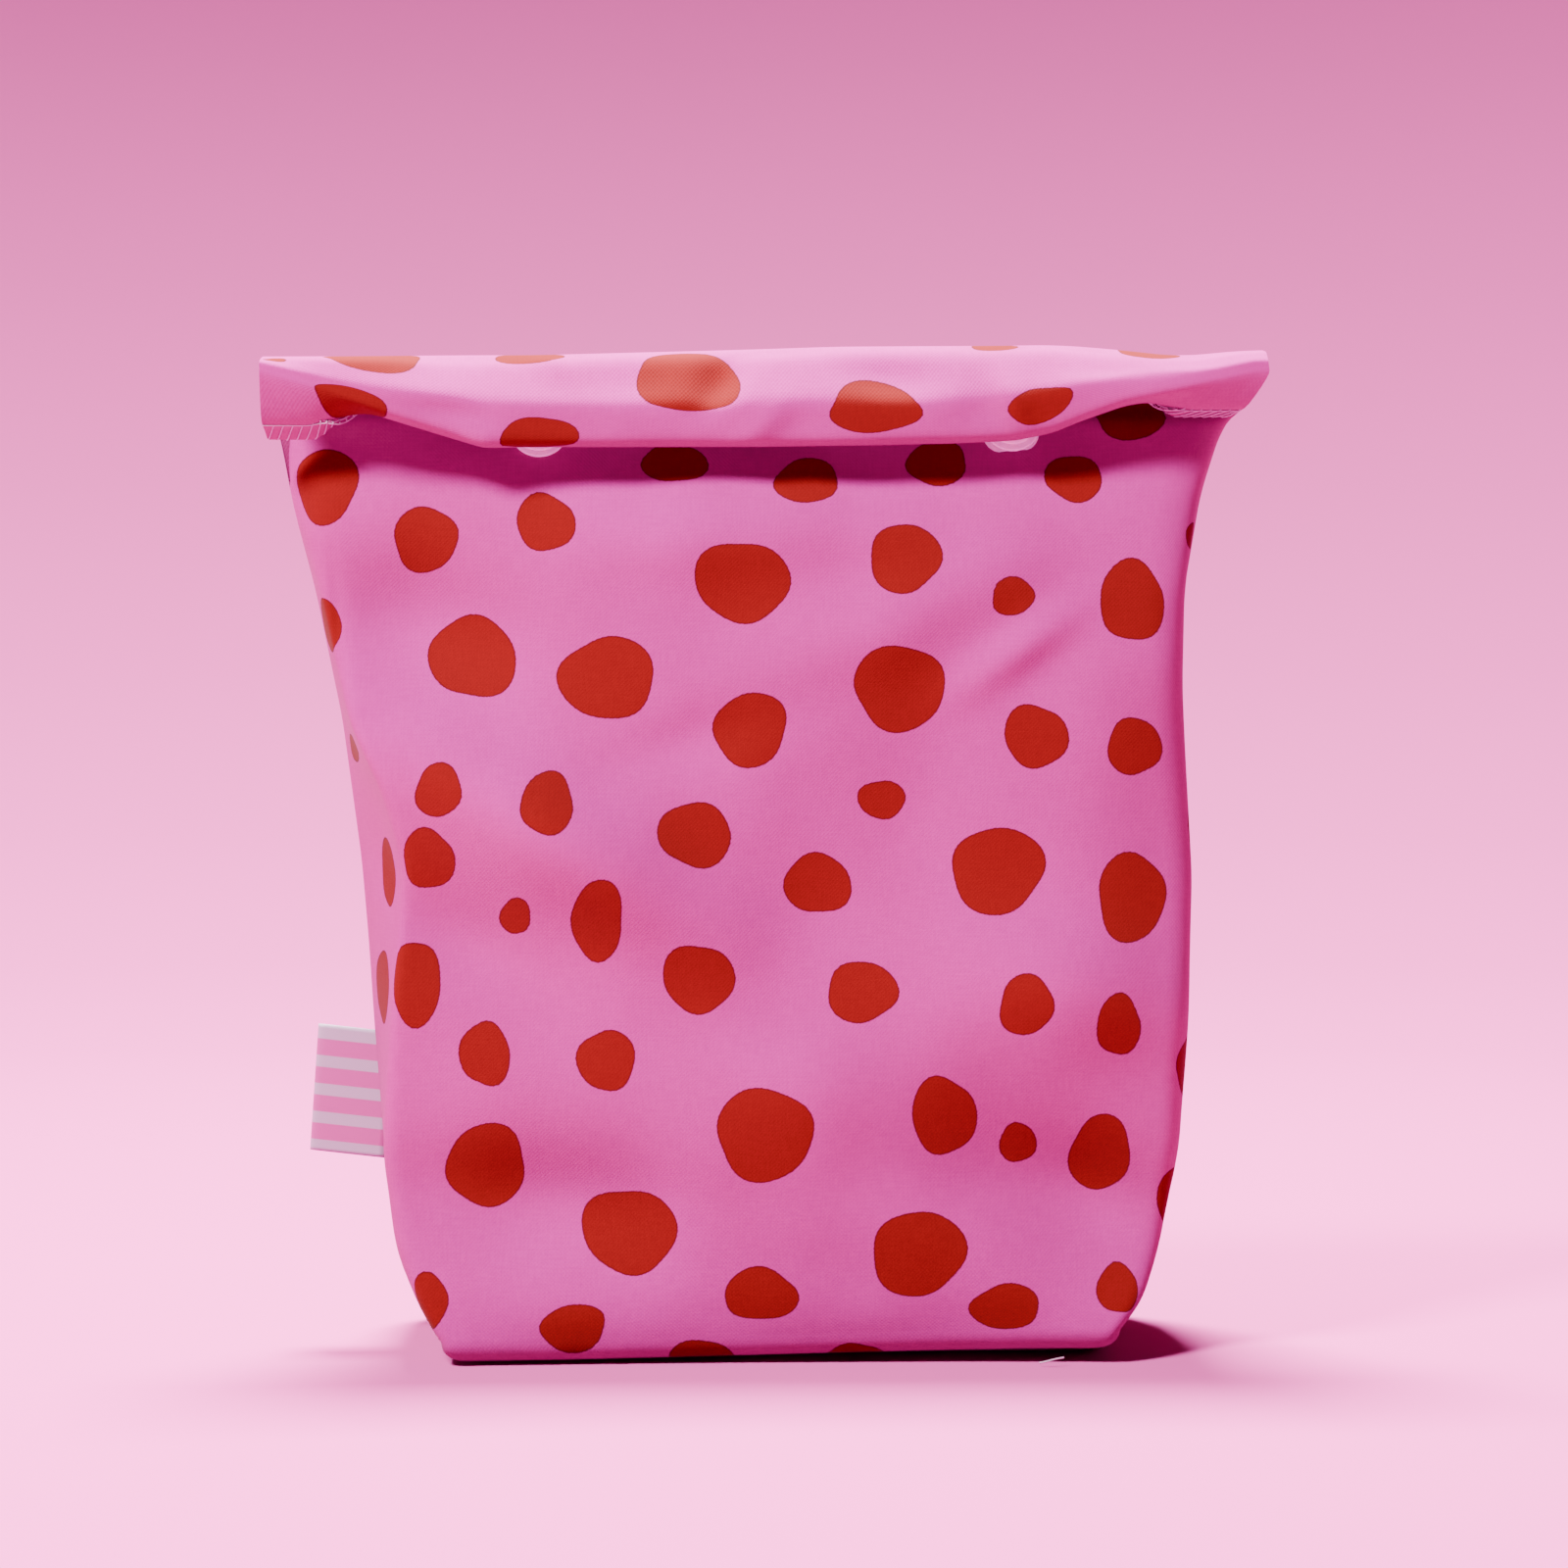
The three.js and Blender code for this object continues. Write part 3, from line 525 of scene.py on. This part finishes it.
# Each printed spot: its middle across and up the flat cloth, its width and its height
FRONT_SPOTS = [
    (-95.6, 182.3, 14.7, 16.3), (-73.9, 171.1, 14.2, 13.4), (-48.6, 174.6, 12.6, 12.2),
    (-21.4, 187.2, 13.8, 8.5), (6.5, 183.4, 13.4, 9.8), (34.2, 187.2, 13.4, 9.4),
    (63.1, 184, 12.6, 9.8), (-7.3, 162.2, 19.5, 17.5), (26.9, 167.1, 14.7, 15.1),
    (49.5, 159.1, 9.4, 8.1), (74.9, 158.1, 14.7, 16.7), (-63.9, 146.3, 18.3, 17.5),
    (-35.6, 142, 19.5, 17.9), (-5.7, 131.3, 15.5, 15.5), (25.6, 140, 19.9, 17.5),
    (54.1, 129.8, 13.4, 13.4), (74.9, 127.6, 11.4, 12.6), (-70.6, 118.8, 9.8, 11.4),
    (-48, 116.2, 11.4, 12.6), (-17.3, 109.5, 15.5, 13.4), (21.8, 116.6, 9.8, 8.5),
    (45.8, 102, 19.1, 18.3), (73.9, 96.3, 15.1, 17.9), (-72.9, 104.4, 11.4, 12.6),
    (8.3, 99.1, 13.8, 13), (-54.7, 92.6, 6.5, 8.1), (-37.6, 92, 11, 17.1),
    (-75.7, 78.6, 11.4, 17.1), (-16.7, 79.8, 14.7, 14.7), (17.3, 76.9, 14.2, 13),
    (51.1, 74.5, 11.4, 12.6), (70.4, 70.2, 9.8, 12.6), (-61, 64.1, 10.6, 13.4),
    (-35.8, 62.9, 11.8, 13), (90, 61, 13, 13), (-3.1, 48, 20.8, 18.7),
    (34.2, 51.3, 13.8, 16.3), (49.9, 45.2, 7.7, 9), (67.2, 42.9, 12.6, 16.7),
    (-60.8, 40.9, 17.1, 17.1), (86, 33.2, 13, 13.5), (-31.1, 27.5, 19.1, 17.9),
    (28.7, 23, 19.1, 18.3), (-73, 13.2, 9, 12), (-3.9, 14.2, 15.9, 11.8),
    (70.5, 14.4, 9, 12), (46.8, 10.6, 14.2, 12.6), (-42.7, 7.3, 13.8, 10.6),
    (-16.7, -2, 14.7, 12), (16.7, -4, 13.4, 13), (-99, 153, 12, 12),
    (-97, 127, 8, 6), (-88, 101, 9, 14), (-93, 77, 14, 15),
    (94, 172, 8, 6), (95, 110.5, 10, 12), (76, 199, 17, 13),
]
ROLL_SPOTS = [
    (-18.3, 230.5, 21, 16), (21.1, 238.5, 21, 13.6), (-49, 246.5, 16.5, 13), (56.8, 240, 13.6, 11),
    (-87, 247, 14.5, 18), (-83, 224, 20.8, 14), (-103, 229, 5, 5), (-51, 222, 14, 10),
    (47.6, 221, 10, 8), (81, 222, 13.7, 10),
]
REPEAT = 114
BACK_SHIFT = 57
PRINT_LENGTH = 205
PRINT_START = -12
UNEVEN = ((2, 0.045), (3, 0.05), (5, 0.02))

spots = {"front": list(FRONT_SPOTS), "back": list(ROLL_SPOTS)}
for across, up, width, height in FRONT_SPOTS:
    if 91 < up < 151:
        spots["front"].append((across, up + REPEAT, width, height))
    if up > 160:
        spots["front"].append((across, up - PRINT_LENGTH, width, height))
    raised = (up + BACK_SHIFT - PRINT_START) % PRINT_LENGTH + PRINT_START
    spots["back"].append((-across, raised, width, height))


def printed(side):
    """How far inside the edge of a spot each point of the cloth lies, or outside where below zero."""
    across, up = np.meshgrid(flat_across, flat_up)
    depth = np.full(across.shape, -99.0)
    for number, (middle, height, wide, tall) in enumerate(spots[side]):
        p, q = (across - middle) / wide * 2, (up - height) / tall * 2
        angle = np.arctan2(q, p)
        reach = 1 + sum(
            share * np.sin(waves * angle + 2.4 * number * waves) for waves, share in UNEVEN
        )
        size = np.hypot(wide * np.cos(angle), tall * np.sin(angle)) / 2
        depth = np.maximum(depth, (reach - np.hypot(p, q)) * size)
    return depth


def effect(name, inputs, outputs):
    """An empty shader node group with named inputs and outputs, shared by several materials."""
    group = bpy.data.node_groups.new(name, "ShaderNodeTree")
    for label, kind in inputs.items():
        group.interface.new_socket(label, in_out="INPUT", socket_type="NodeSocket" + kind)
    for label, kind in outputs.items():
        group.interface.new_socket(label, in_out="OUTPUT", socket_type="NodeSocket" + kind)
    return group, group.nodes.new("NodeGroupInput"), group.nodes.new("NodeGroupOutput")


def placed(tree, group, values):
    made = tree.nodes.new("ShaderNodeGroup")
    made.node_tree = group
    for socket, value in values.items():
        if isinstance(value, bpy.types.NodeSocket):
            tree.links.new(value, made.inputs[socket])
        else:
            made.inputs[socket].default_value = value
    return made.outputs


# Threads over and under each other, with the thicker and thinner yarns of real cotton
weave, weave_in, weave_out = effect(
    "weave", {"Place": "Vector", "Thread": "Float"}, {"Height": "Float", "Shade": "Float"}
)
place = node(weave, "SeparateXYZ", {0: weave_in.outputs["Place"]}).outputs
pitch = maths(weave, "DIVIDE", math.pi, weave_in.outputs["Thread"])
waves = [maths(weave, "SINE", maths(weave, "MULTIPLY", place[axis], pitch)) for axis in (0, 1)]
checks = maths(weave, "MULTIPLY", *waves)
weave.links.new(maths(weave, "MULTIPLY_ADD", checks, 0.5, 0.5), weave_out.inputs["Height"])
yarns = []
for stretch in ((0.25, 2.2, 1), (2.2, 0.25, 1)):
    along = node(weave, "VectorMath", {0: weave_in.outputs["Place"], 1: stretch}, operation="MULTIPLY")
    uneven = {"Vector": along.outputs[0], "Scale": 1, "Detail": 2}
    yarns.append(node(weave, "TexNoise", uneven).outputs[0])
weave.links.new(maths(weave, "ADD", *yarns), weave_out.inputs["Shade"])

PINK = (0.262, 0.0095, 0.143, 1)
PINK_LIGHT = (0.28, 0.011, 0.157, 1)
SPOT_RED = (0.106, 0.0016, 0.0017, 1)
SPOT_EDGE = (0.06, 0.0014, 0.002, 1)
REVERSE_PINK = (0.33, 0.045, 0.2, 1)
REVERSE_SPOT = (0.2, 0.017, 0.04, 1)
PRINT_EDGE = 0.12
EDGE_LINE = 0.45
THREAD = 0.42

cotton, tree, surface = shader("spotted_cotton", 0.88)
flat = node(tree, "Attribute", attribute_name="flat").outputs["Vector"]
inside = node(tree, "Attribute", attribute_name="spot").outputs["Fac"]
behind = node(tree, "Attribute", attribute_name="reverse").outputs["Fac"]
yarn = placed(tree, weave, {"Place": flat, "Thread": THREAD})
wander = node(tree, "TexNoise", {"Vector": flat, "Scale": 1.4, "Detail": 3}).outputs[0]
edge = maths(tree, "MULTIPLY_ADD", wander, 0.3, -0.15)
depth = maths(tree, "ADD", inside, edge)
mask = ramp(tree, depth, -PRINT_EDGE, PRINT_EDGE)
cloud = node(tree, "TexNoise", {"Vector": flat, "Scale": 0.03, "Detail": 3}).outputs[0]
ground = mixed(tree, ramp(tree, cloud, 0.35, 0.65), PINK, PINK_LIGHT)
ink = mixed(tree, ramp(tree, depth, EDGE_LINE, 0.1), SPOT_RED, SPOT_EDGE)
print_face = mixed(tree, mask, ground, ink)
reverse_face = mixed(tree, mask, REVERSE_PINK, REVERSE_SPOT)
colour = mixed(tree, behind, print_face, reverse_face)
grain = ramp(tree, yarn["Shade"], 0.7, 1.3, 0.94, 1.04)
grey = node(tree, "CombineColor", dict.fromkeys((0, 1, 2), grain)).outputs[0]
colour = mixed(tree, 1, colour, grey, "MULTIPLY")
tree.links.new(colour, surface.inputs["Base Color"])
surface.inputs["Specular IOR Level"].default_value = 0.05
surface.inputs["Sheen Weight"].default_value = 0.03
height = maths(tree, "MULTIPLY_ADD", yarn["Shade"], 0.5, yarn["Height"])
bump = node(tree, "Bump", {"Height": height, "Strength": 0.35, "Distance": 0.0001})
tree.links.new(bump.outputs[0], surface.inputs["Normal"])


def grid_place(vertex, rows, columns):
    """The row and column of a vertex of a fresh grid, which reaches from -1 to 1 both ways."""
    return round((vertex.co.y + 1) / 2 * (rows - 1)), round((vertex.co.x + 1) / 2 * (columns - 1))


def doubled(shape, deepen):
    """Backs a sheet with a copy, each of whose vertices the given function moves, and joins the rims."""
    rim = [edge for edge in shape.edges if edge.is_boundary]
    copy = bmesh.ops.duplicate(shape, geom=shape.verts[:] + shape.edges[:] + shape.faces[:])["geom"]
    turned = [part for part in copy if isinstance(part, bmesh.types.BMFace)]
    bmesh.ops.reverse_faces(shape, faces=turned)
    for part in copy:
        if isinstance(part, bmesh.types.BMVert):
            deepen(part)
        elif isinstance(part, bmesh.types.BMEdge) and part.is_boundary:
            rim.append(part)
    bmesh.ops.bridge_loops(shape, edges=rim)


def cloth_piece(name, side, first, last, *nodes):
    """One stretch of a cloth, with its printed face outside, its plain face inside and its cut edges."""
    rows = last - first + 1
    places, faces, depths = [cloths[side][k][first : last + 1] for k in ("places", "faces", "spots")]
    shape = bmesh.new()
    bmesh.ops.create_grid(shape, x_segments=COLUMNS - 1, y_segments=rows - 1, size=1)
    layer = shape.verts.layers
    spot, reverse = layer.float.new("spot"), layer.float.new("reverse")
    lie, flat_place = layer.float_vector.new("lie"), layer.float_vector.new("flat")
    for vertex in shape.verts:
        row, column = grid_place(vertex, rows, COLUMNS)
        vertex.co = places[row, column] / METRE
        vertex[spot] = depths[row, column]
        vertex[lie] = faces[row, column]
        vertex[flat_place] = (flat_across[column], flat_up[first + row], 0)
    if side == "back":
        bmesh.ops.reverse_faces(shape, faces=shape.faces)

    def deepen(vertex):
        vertex.co -= vertex[lie] * CLOTH / METRE
        vertex[lie] = -vertex[lie]
        vertex[reverse] = 1

    doubled(shape, deepen)
    piece = solid(name, shape, cotton)
    lies = np.zeros(len(piece.data.vertices) * 3, np.float32)
    piece.data.attributes["lie"].data.foreach_get("vector", lies)
    piece.data.normals_split_custom_set_from_vertices(lies.reshape(-1, 3).tolist())
    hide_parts(*nodes)
    return piece


for side in cloths:
    cloths[side]["spots"] = printed(side)
neck_row = BASE_ROWS + ROUND_ROWS + BODY_ROWS - 1
node_rows = [neck_row + count for count in np.concatenate([[0], np.cumsum(ROLL_ROWS)])]
for side in cloths:
    panel = cloth_piece(f"{side}_cloth", side, 0, neck_row, f"{side}_panel")
    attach(panel, "bag")

# The roll, cut where the model's stretches meet. Each row gives the stretch, the body before it, its first
# and last node, and two points given as places forward and up; the body and the two points are not used here.
STRETCHES = [
    ("crown", "bag", 0, 2, (0.12, 202.5), (4.06, 208.8)),
    ("flap", "crown", 2, 5, (6.25, 204.4), (15.77, 201.31)),
    ("turn_under", "flap", 5, 7, (15.23, 194.86), (12.64, 195.04)),
    ("hem", "turn_under", 7, 8, (10.72, 197.545), (9.9, 197.57)),
]
for name, before, first, last, start, end in STRETCHES:
    for side in cloths:
        piece = cloth_piece(
            f"{side}_cloth_{name}", side, node_rows[first], node_rows[last], f"{name}_{side}_layer"
        )
        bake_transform(piece)


# The seam allowances
# The cotton's raw edges inside the bag, bound together with overlock thread. They stand in from the
# side seams, up from the middle of the base, and lie flat across its boxed corners.
SEAM_WIDE = 7
SEAM_THICK = 1.1
SIDE_SEAM = (9.5, 165)
BASE_SEAM = (59, 0.9, 7.9)
CORNER_SEAM = (59.5, 66.2, 33)
CORNER_HEIGHT = 1.55
BINDING = (0.36, 0.14, 0.24, 1)
BINDING_DEEP = (0.22, 0.012, 0.11, 1)


def thick_sheet(name, places, thick, finish):
    """A sheet through rows of places, as thick as given and centred on them, with its flat places kept."""
    rows, columns = places.shape[:2]
    along = np.linalg.norm(np.diff(places, axis=0, prepend=places[:1]), axis=2).cumsum(axis=0)
    over = np.linalg.norm(np.diff(places, axis=1, prepend=places[:, :1]), axis=2).cumsum(axis=1)
    away = facing(places, "back") * thick / 2
    shape = bmesh.new()
    bmesh.ops.create_grid(shape, x_segments=columns - 1, y_segments=rows - 1, size=1)
    flat_place = shape.verts.layers.float_vector.new("flat")
    shift = shape.verts.layers.float_vector.new("shift")
    for vertex in shape.verts:
        row, column = grid_place(vertex, rows, columns)
        vertex.co = (places[row, column] + away[row, column]) / METRE
        vertex[flat_place] = (over[row, column], along[row, column], 0)
        vertex[shift] = away[row, column] * 2 / METRE

    def deepen(vertex):
        vertex.co -= vertex[shift]

    doubled(shape, deepen)
    bmesh.ops.recalc_face_normals(shape, faces=shape.faces)
    return solid(name, shape, finish)


bound_edge, tree, surface = shader("bound_edge", 0.8)
flat_place = node(tree, "Attribute", attribute_name="flat").outputs["Vector"]
flat_x, flat_y, _ = node(tree, "SeparateXYZ", {0: flat_place}).outputs
slant = maths(tree, "MULTIPLY_ADD", flat_x, 0.35, flat_y)
loops = maths(tree, "SINE", maths(tree, "MULTIPLY", slant, math.pi))
shown = ramp(tree, loops, 0.25, 0.6)
tree.links.new(mixed(tree, shown, BINDING_DEEP, BINDING), surface.inputs["Base Color"])
bump = node(tree, "Bump", {"Height": loops, "Distance": 0.0003, "Strength": 0.6})
tree.links.new(bump.outputs[0], surface.inputs["Normal"])

for name, column, inward in (("left", 0, 1), ("right", COLUMNS - 1, -1)):
    line = cloths["front"]["places"][BASE_ROWS + ROUND_ROWS : neck_row, column]
    heights = np.linspace(*SIDE_SEAM, 90)
    seam_line = np.interp(heights, line[:, 2], line[:, 0])
    inset = np.array([0.4, 2.2, 4, 5.5, SEAM_WIDE])
    strip = np.zeros((len(heights), len(inset), 3))
    strip[..., 0] = seam_line[:, None] + inward * inset
    strip[..., 1] = 0.25 * np.sin(heights / 7)[:, None] * inset / SEAM_WIDE
    strip[..., 2] = heights[:, None]
    seam = thick_sheet(f"{name}_seam_allowance", strip, SEAM_THICK, bound_edge)
    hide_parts(f"{name}_side_seam")
    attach(seam, "bag")

run = np.linspace(-BASE_SEAM[0], BASE_SEAM[0], 60)
rise = np.linspace(BASE_SEAM[1], BASE_SEAM[2], 6)
wave = 0.06 * np.sin(run / 6)[:, None] * rise
strip = np.stack(np.broadcast_arrays(run[:, None], wave, rise), axis=2)
seam = thick_sheet("base_seam_allowance", strip, SEAM_THICK, bound_edge)
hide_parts("base_seam")
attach(seam, "bag")

for name, hand, lifted in (("left", -1, EDGE_LIFT[0]), ("right", 1, EDGE_LIFT[1])):
    run = np.linspace(-CORNER_SEAM[2], CORNER_SEAM[2], 40)
    across = hand * np.linspace(*CORNER_SEAM[:2], 5)
    up = CORNER_HEIGHT + lifted * smooth(np.abs(run), 12, 34) + 0.05 * np.sin(run / 5)
    strip = np.stack(np.broadcast_arrays(across, run[:, None], up[:, None]), axis=2)
    seam = thick_sheet(f"{name}_corner_allowance", strip, SEAM_THICK, bound_edge)
    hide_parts(f"{name}_corner_seam")
    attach(seam, "bag")


# The overlocked edges of the mouth
# Polyester sewing thread, looped over the raw edge of each cloth from end to end, about two
# millimetres to a stitch, with a straight line of needle thread along the foot of the loops.
LOOP_PITCH = 2.0
LOOP_TALL = 5.5
LOOP_STEPS = 14
THREAD_RADIUS = 0.17
THREAD_PALE = (0.42, 0.26, 0.36, 1)
THREAD_DEEP = (0.34, 0.13, 0.26, 1)
TAIL_LINE = [(53.6, -41, 0.9), (55.2, -41.3, 1.3), (57, -41, 1.7), (58.6, -40.6, 1.9)]
TAIL_RADIUS = 0.2


def threads(name, lines, radius):
    """Round threads along lines of places, as one mesh."""
    run = bpy.data.curves.new(name, "CURVE")
    run.dimensions = "3D"
    run.bevel_depth = radius / METRE
    run.bevel_resolution = 1
    run.use_fill_caps = True
    for line in lines:
        spline = run.splines.new("POLY")
        spline.points.add(len(line) - 1)
        points = np.ones((len(line), 4))
        points[:, :3] = np.asarray(line) / METRE
        spline.points.foreach_set("co", points.ravel())
    drawn = bpy.data.objects.new(name, run)
    bpy.context.scene.collection.objects.link(drawn)
    shape = bmesh.new()
    shape.from_mesh(drawn.to_mesh())
    drawn.to_mesh_clear()
    bpy.data.objects.remove(drawn)
    return solid(name, shape, sewing_thread)


sewing_thread, tree, surface = shader("sewing_thread", 0.55)
spun = node(tree, "TexCoord").outputs["Object"]
fibre = node(tree, "TexNoise", {"Vector": spun, "Scale": 2600, "Detail": 2}).outputs[0]
tree.links.new(mixed(tree, fibre, THREAD_PALE, THREAD_DEEP), surface.inputs["Base Color"])

for side in cloths:
    places = cloths[side]["places"][-6:]
    lies = cloths[side]["faces"][-1]
    edge = places[-1] - lies * CLOTH / 2
    back_in = places[-6] - places[-1]
    back_in /= np.linalg.norm(back_in, axis=1, keepdims=True)
    length = np.concatenate([[0], np.cumsum(np.linalg.norm(np.diff(edge, axis=0), axis=1))])
    turns = np.arange(0, length[-1] / LOOP_PITCH, 1 / LOOP_STEPS)
    angle = turns * math.tau
    reach = LOOP_TALL / 2 - (LOOP_TALL / 2 + 0.25) * np.cos(angle)
    at = turns * LOOP_PITCH + 0.3 * reach

    def along(values):
        return np.stack([np.interp(at, length, values[:, k]) for k in range(3)], axis=1)

    swing = (CLOTH / 2 + THREAD_RADIUS) * np.clip(1.5 * np.sin(angle), -1, 1)
    loops = along(edge) + along(back_in) * reach[:, None] + along(lies) * swing[:, None]
    lines = [loops]
    for face_side in (1, -1):
        lift = lies * (CLOTH / 2 + THREAD_RADIUS * 1.6) * face_side
        lines.append(edge + back_in * (LOOP_TALL - 0.3) + lift)
    overlock = threads(f"{side}_overlock_loops", lines, THREAD_RADIUS)
    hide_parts(f"{side}_edge_overlock")
    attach(overlock, "hem")

tail = threads("loose_thread", [TAIL_LINE], TAIL_RADIUS)
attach(tail, "bag")


# The press snaps
# Glossy white plastic, moulded: a stud and a socket on each side of the mouth, each held to its
# cloth by a low domed cap on the cloth's other face, whose prong goes through into it.
SNAP_AXIS = (0, -0.9565, 0.2917)
STUD_AT = (0, -3.62, 194.27)
SOCKET_AT = (0, -8.62, 195.79)
SNAP_AWAY = 50
SNAP_SIDES = 48
STUD_CAP = (1.7, 6.2)
SOCKET_CAP = (0.9, 5.2)
SNAP_WHITE = (0.72, 0.66, 0.69, 1)
# Half the outlines of the stud and the socket, as distances from the axis and along it
STUD_LINE = [
    (0, 0), (5.9, 0), (6.1, 0.1), (6.2, 0.3), (6.2, 0.7), (6.05, 0.92), (5.8, 1), (2.3, 1),
    (1.95, 1.1), (1.8, 1.3), (1.85, 1.55), (1.8, 1.75), (1.6, 1.88), (0, 1.9),
]
SOCKET_LINE = [
    (0, 0), (5.9, 0), (6.1, 0.1), (6.2, 0.3), (6.2, 0.7), (6.05, 0.92), (5.75, 1), (5.35, 1.1),
    (5.2, 1.35), (5.15, 2.3), (5.05, 2.5), (4.85, 2.6), (3.5, 2.6), (3.28, 2.5), (3.2, 2.25),
    (3.2, 1.45), (0, 1.4),
]


def spun_piece(name, replaced, body, side, place, axis, line):
    """A moulded piece turned from half its outline, its axis along the snap's."""
    shape = bmesh.new()
    points = [shape.verts.new(Vector((radius, 0, height)) / METRE) for radius, height in line]
    for first, second in zip(points, points[1:]):
        shape.edges.new((first, second))
    bmesh.ops.spin(
        shape,
        geom=shape.verts[:] + shape.edges[:],
        axis=(0, 0, 1),
        cent=(0, 0, 0),
        steps=SNAP_SIDES,
        angle=math.tau,
        use_merge=True,
    )
    bmesh.ops.remove_doubles(shape, verts=shape.verts, dist=0.00001)
    bmesh.ops.recalc_face_normals(shape, faces=shape.faces)
    turn = Vector((0, 0, 1)).rotation_difference(Vector(axis)).to_matrix().to_4x4()
    shift = Matrix.Translation(Vector((side * SNAP_AWAY, place[1], place[2])) / METRE)
    bmesh.ops.transform(shape, matrix=shift @ turn, verts=shape.verts)
    piece = solid(name, shape, snap_plastic)
    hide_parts(replaced)
    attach(piece, body)


def cap_line(seat, wide):
    """Half the outline of a cap that stands behind its seat, with the prong through the cloth."""
    rim, crown = -seat - 0.3, -seat - 1.05
    line = [(0, crown)]
    for step in range(1, 8):
        lean = math.pi / 2 * step / 7
        line.append((wide * math.sin(lean), rim + (crown - rim) * math.cos(lean)))
    return line + [(wide, -seat - 0.1), (wide - 0.1, -seat), (0.6, -seat), (0.6, 0.6), (0.4, 0.85), (0, 0.88)]


snap_plastic, tree, surface = shader("snap_plastic", 0.28)
surface.inputs["Base Color"].default_value = SNAP_WHITE
surface.inputs["Subsurface Weight"].default_value = 0.15
surface.inputs["Subsurface Scale"].default_value = 0.001
spot_place = node(tree, "TexCoord").outputs["Object"]
faint = node(tree, "TexNoise", {"Vector": spot_place, "Scale": 900, "Detail": 1}).outputs[0]
tree.links.new(ramp(tree, faint, 0.3, 0.7, 0.24, 0.34), surface.inputs["Roughness"])

back_axis = tuple(-part for part in SNAP_AXIS)
for name, side in (("left", -1), ("right", 1)):
    for part, body, place, axis, line in (
        ("stud", "bag", STUD_AT, SNAP_AXIS, STUD_LINE),
        ("stud_cap", "bag", STUD_AT, SNAP_AXIS, cap_line(*STUD_CAP)),
        ("socket", "hem", SOCKET_AT, back_axis, SOCKET_LINE),
        ("socket_cap", "hem", SOCKET_AT, back_axis, cap_line(*SOCKET_CAP)),
    ):
        spun_piece(f"{name}_{part}", f"{name}_snap_{part}", body, side, place, axis, line)


# The side label
# A folded length of smooth woven ribbon, sewn into the left side seam by its two ends, with broad
# pale and pink stripes across it. It stands out from the seam.
LABEL_ROOT = (-84.9, 39.4)
LABEL_UP = (0.07, 0.9975)
LABEL_OUT = (-0.9935, 0.114)
LABEL_TALL = 27
LABEL_LONG = 14.4
RIBBON_PLY = 0.3
# Along the ribbon's fold: how far out from the seam, and how far back from the middle
RIBBON_LINE = [
    (-2, -0.3), (0, -0.32), (2.5, -0.42), (6, -0.46), (10, -0.46), (12.6, -0.42), (13.7, -0.36),
    (14.15, -0.2), (14.3, 0), (14.15, 0.2), (13.7, 0.36), (12.6, 0.42), (10, 0.46), (6, 0.46),
    (2.5, 0.42), (0, 0.32), (-2, 0.3),
]
STRIPE_PALE = (0.28, 0.185, 0.27, 1)
STRIPE_PINK = (0.31, 0.026, 0.175, 1)
STRIPE_REPEAT = 6
STRIPE_MIDDLE = 1.81
STRIPE_HALF = 1.24

ribbon = np.array(RIBBON_LINE)
label_rise = np.linspace(0, LABEL_TALL, 34)
bow = 0.35 * np.sin(label_rise / LABEL_TALL * math.pi)[:, None]
sag = bow * (np.maximum(ribbon[:, 0], 0) / LABEL_LONG) ** 2
label_places = np.zeros((len(label_rise), len(ribbon), 3))
for axis, k in ((0, 0), (2, 1)):
    along_seam = LABEL_ROOT[k] + LABEL_UP[k] * label_rise[:, None]
    label_places[..., axis] = along_seam + LABEL_OUT[k] * ribbon[:, 0]
label_places[..., 1] = ribbon[:, 1] - sag * 0.5

label_ribbon, tree, surface = shader("label_ribbon", 0.5)
flat_place = node(tree, "Attribute", attribute_name="flat").outputs["Vector"]
flat_y = node(tree, "SeparateXYZ", {0: flat_place}).outputs[1]
from_top = maths(tree, "MAXIMUM", maths(tree, "SUBTRACT", LABEL_TALL, flat_y), STRIPE_MIDDLE)
past_first = maths(tree, "SUBTRACT", from_top, STRIPE_MIDDLE)
off_stripe = maths(tree, "PINGPONG", past_first, STRIPE_REPEAT / 2)
pinkness = ramp(tree, off_stripe, STRIPE_HALF - 0.1, STRIPE_HALF + 0.1)
tree.links.new(mixed(tree, pinkness, STRIPE_PALE, STRIPE_PINK), surface.inputs["Base Color"])
ribs = placed(tree, weave, {"Place": flat_place, "Thread": 0.24})
bump = node(tree, "Bump", {"Height": ribs["Height"], "Distance": 0.00004, "Strength": 0.5})
tree.links.new(bump.outputs[0], surface.inputs["Normal"])
surface.inputs["Sheen Weight"].default_value = 0.05

label = thick_sheet("folded_label", label_places, RIBBON_PLY, label_ribbon)
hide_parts("side_label")
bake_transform(label)
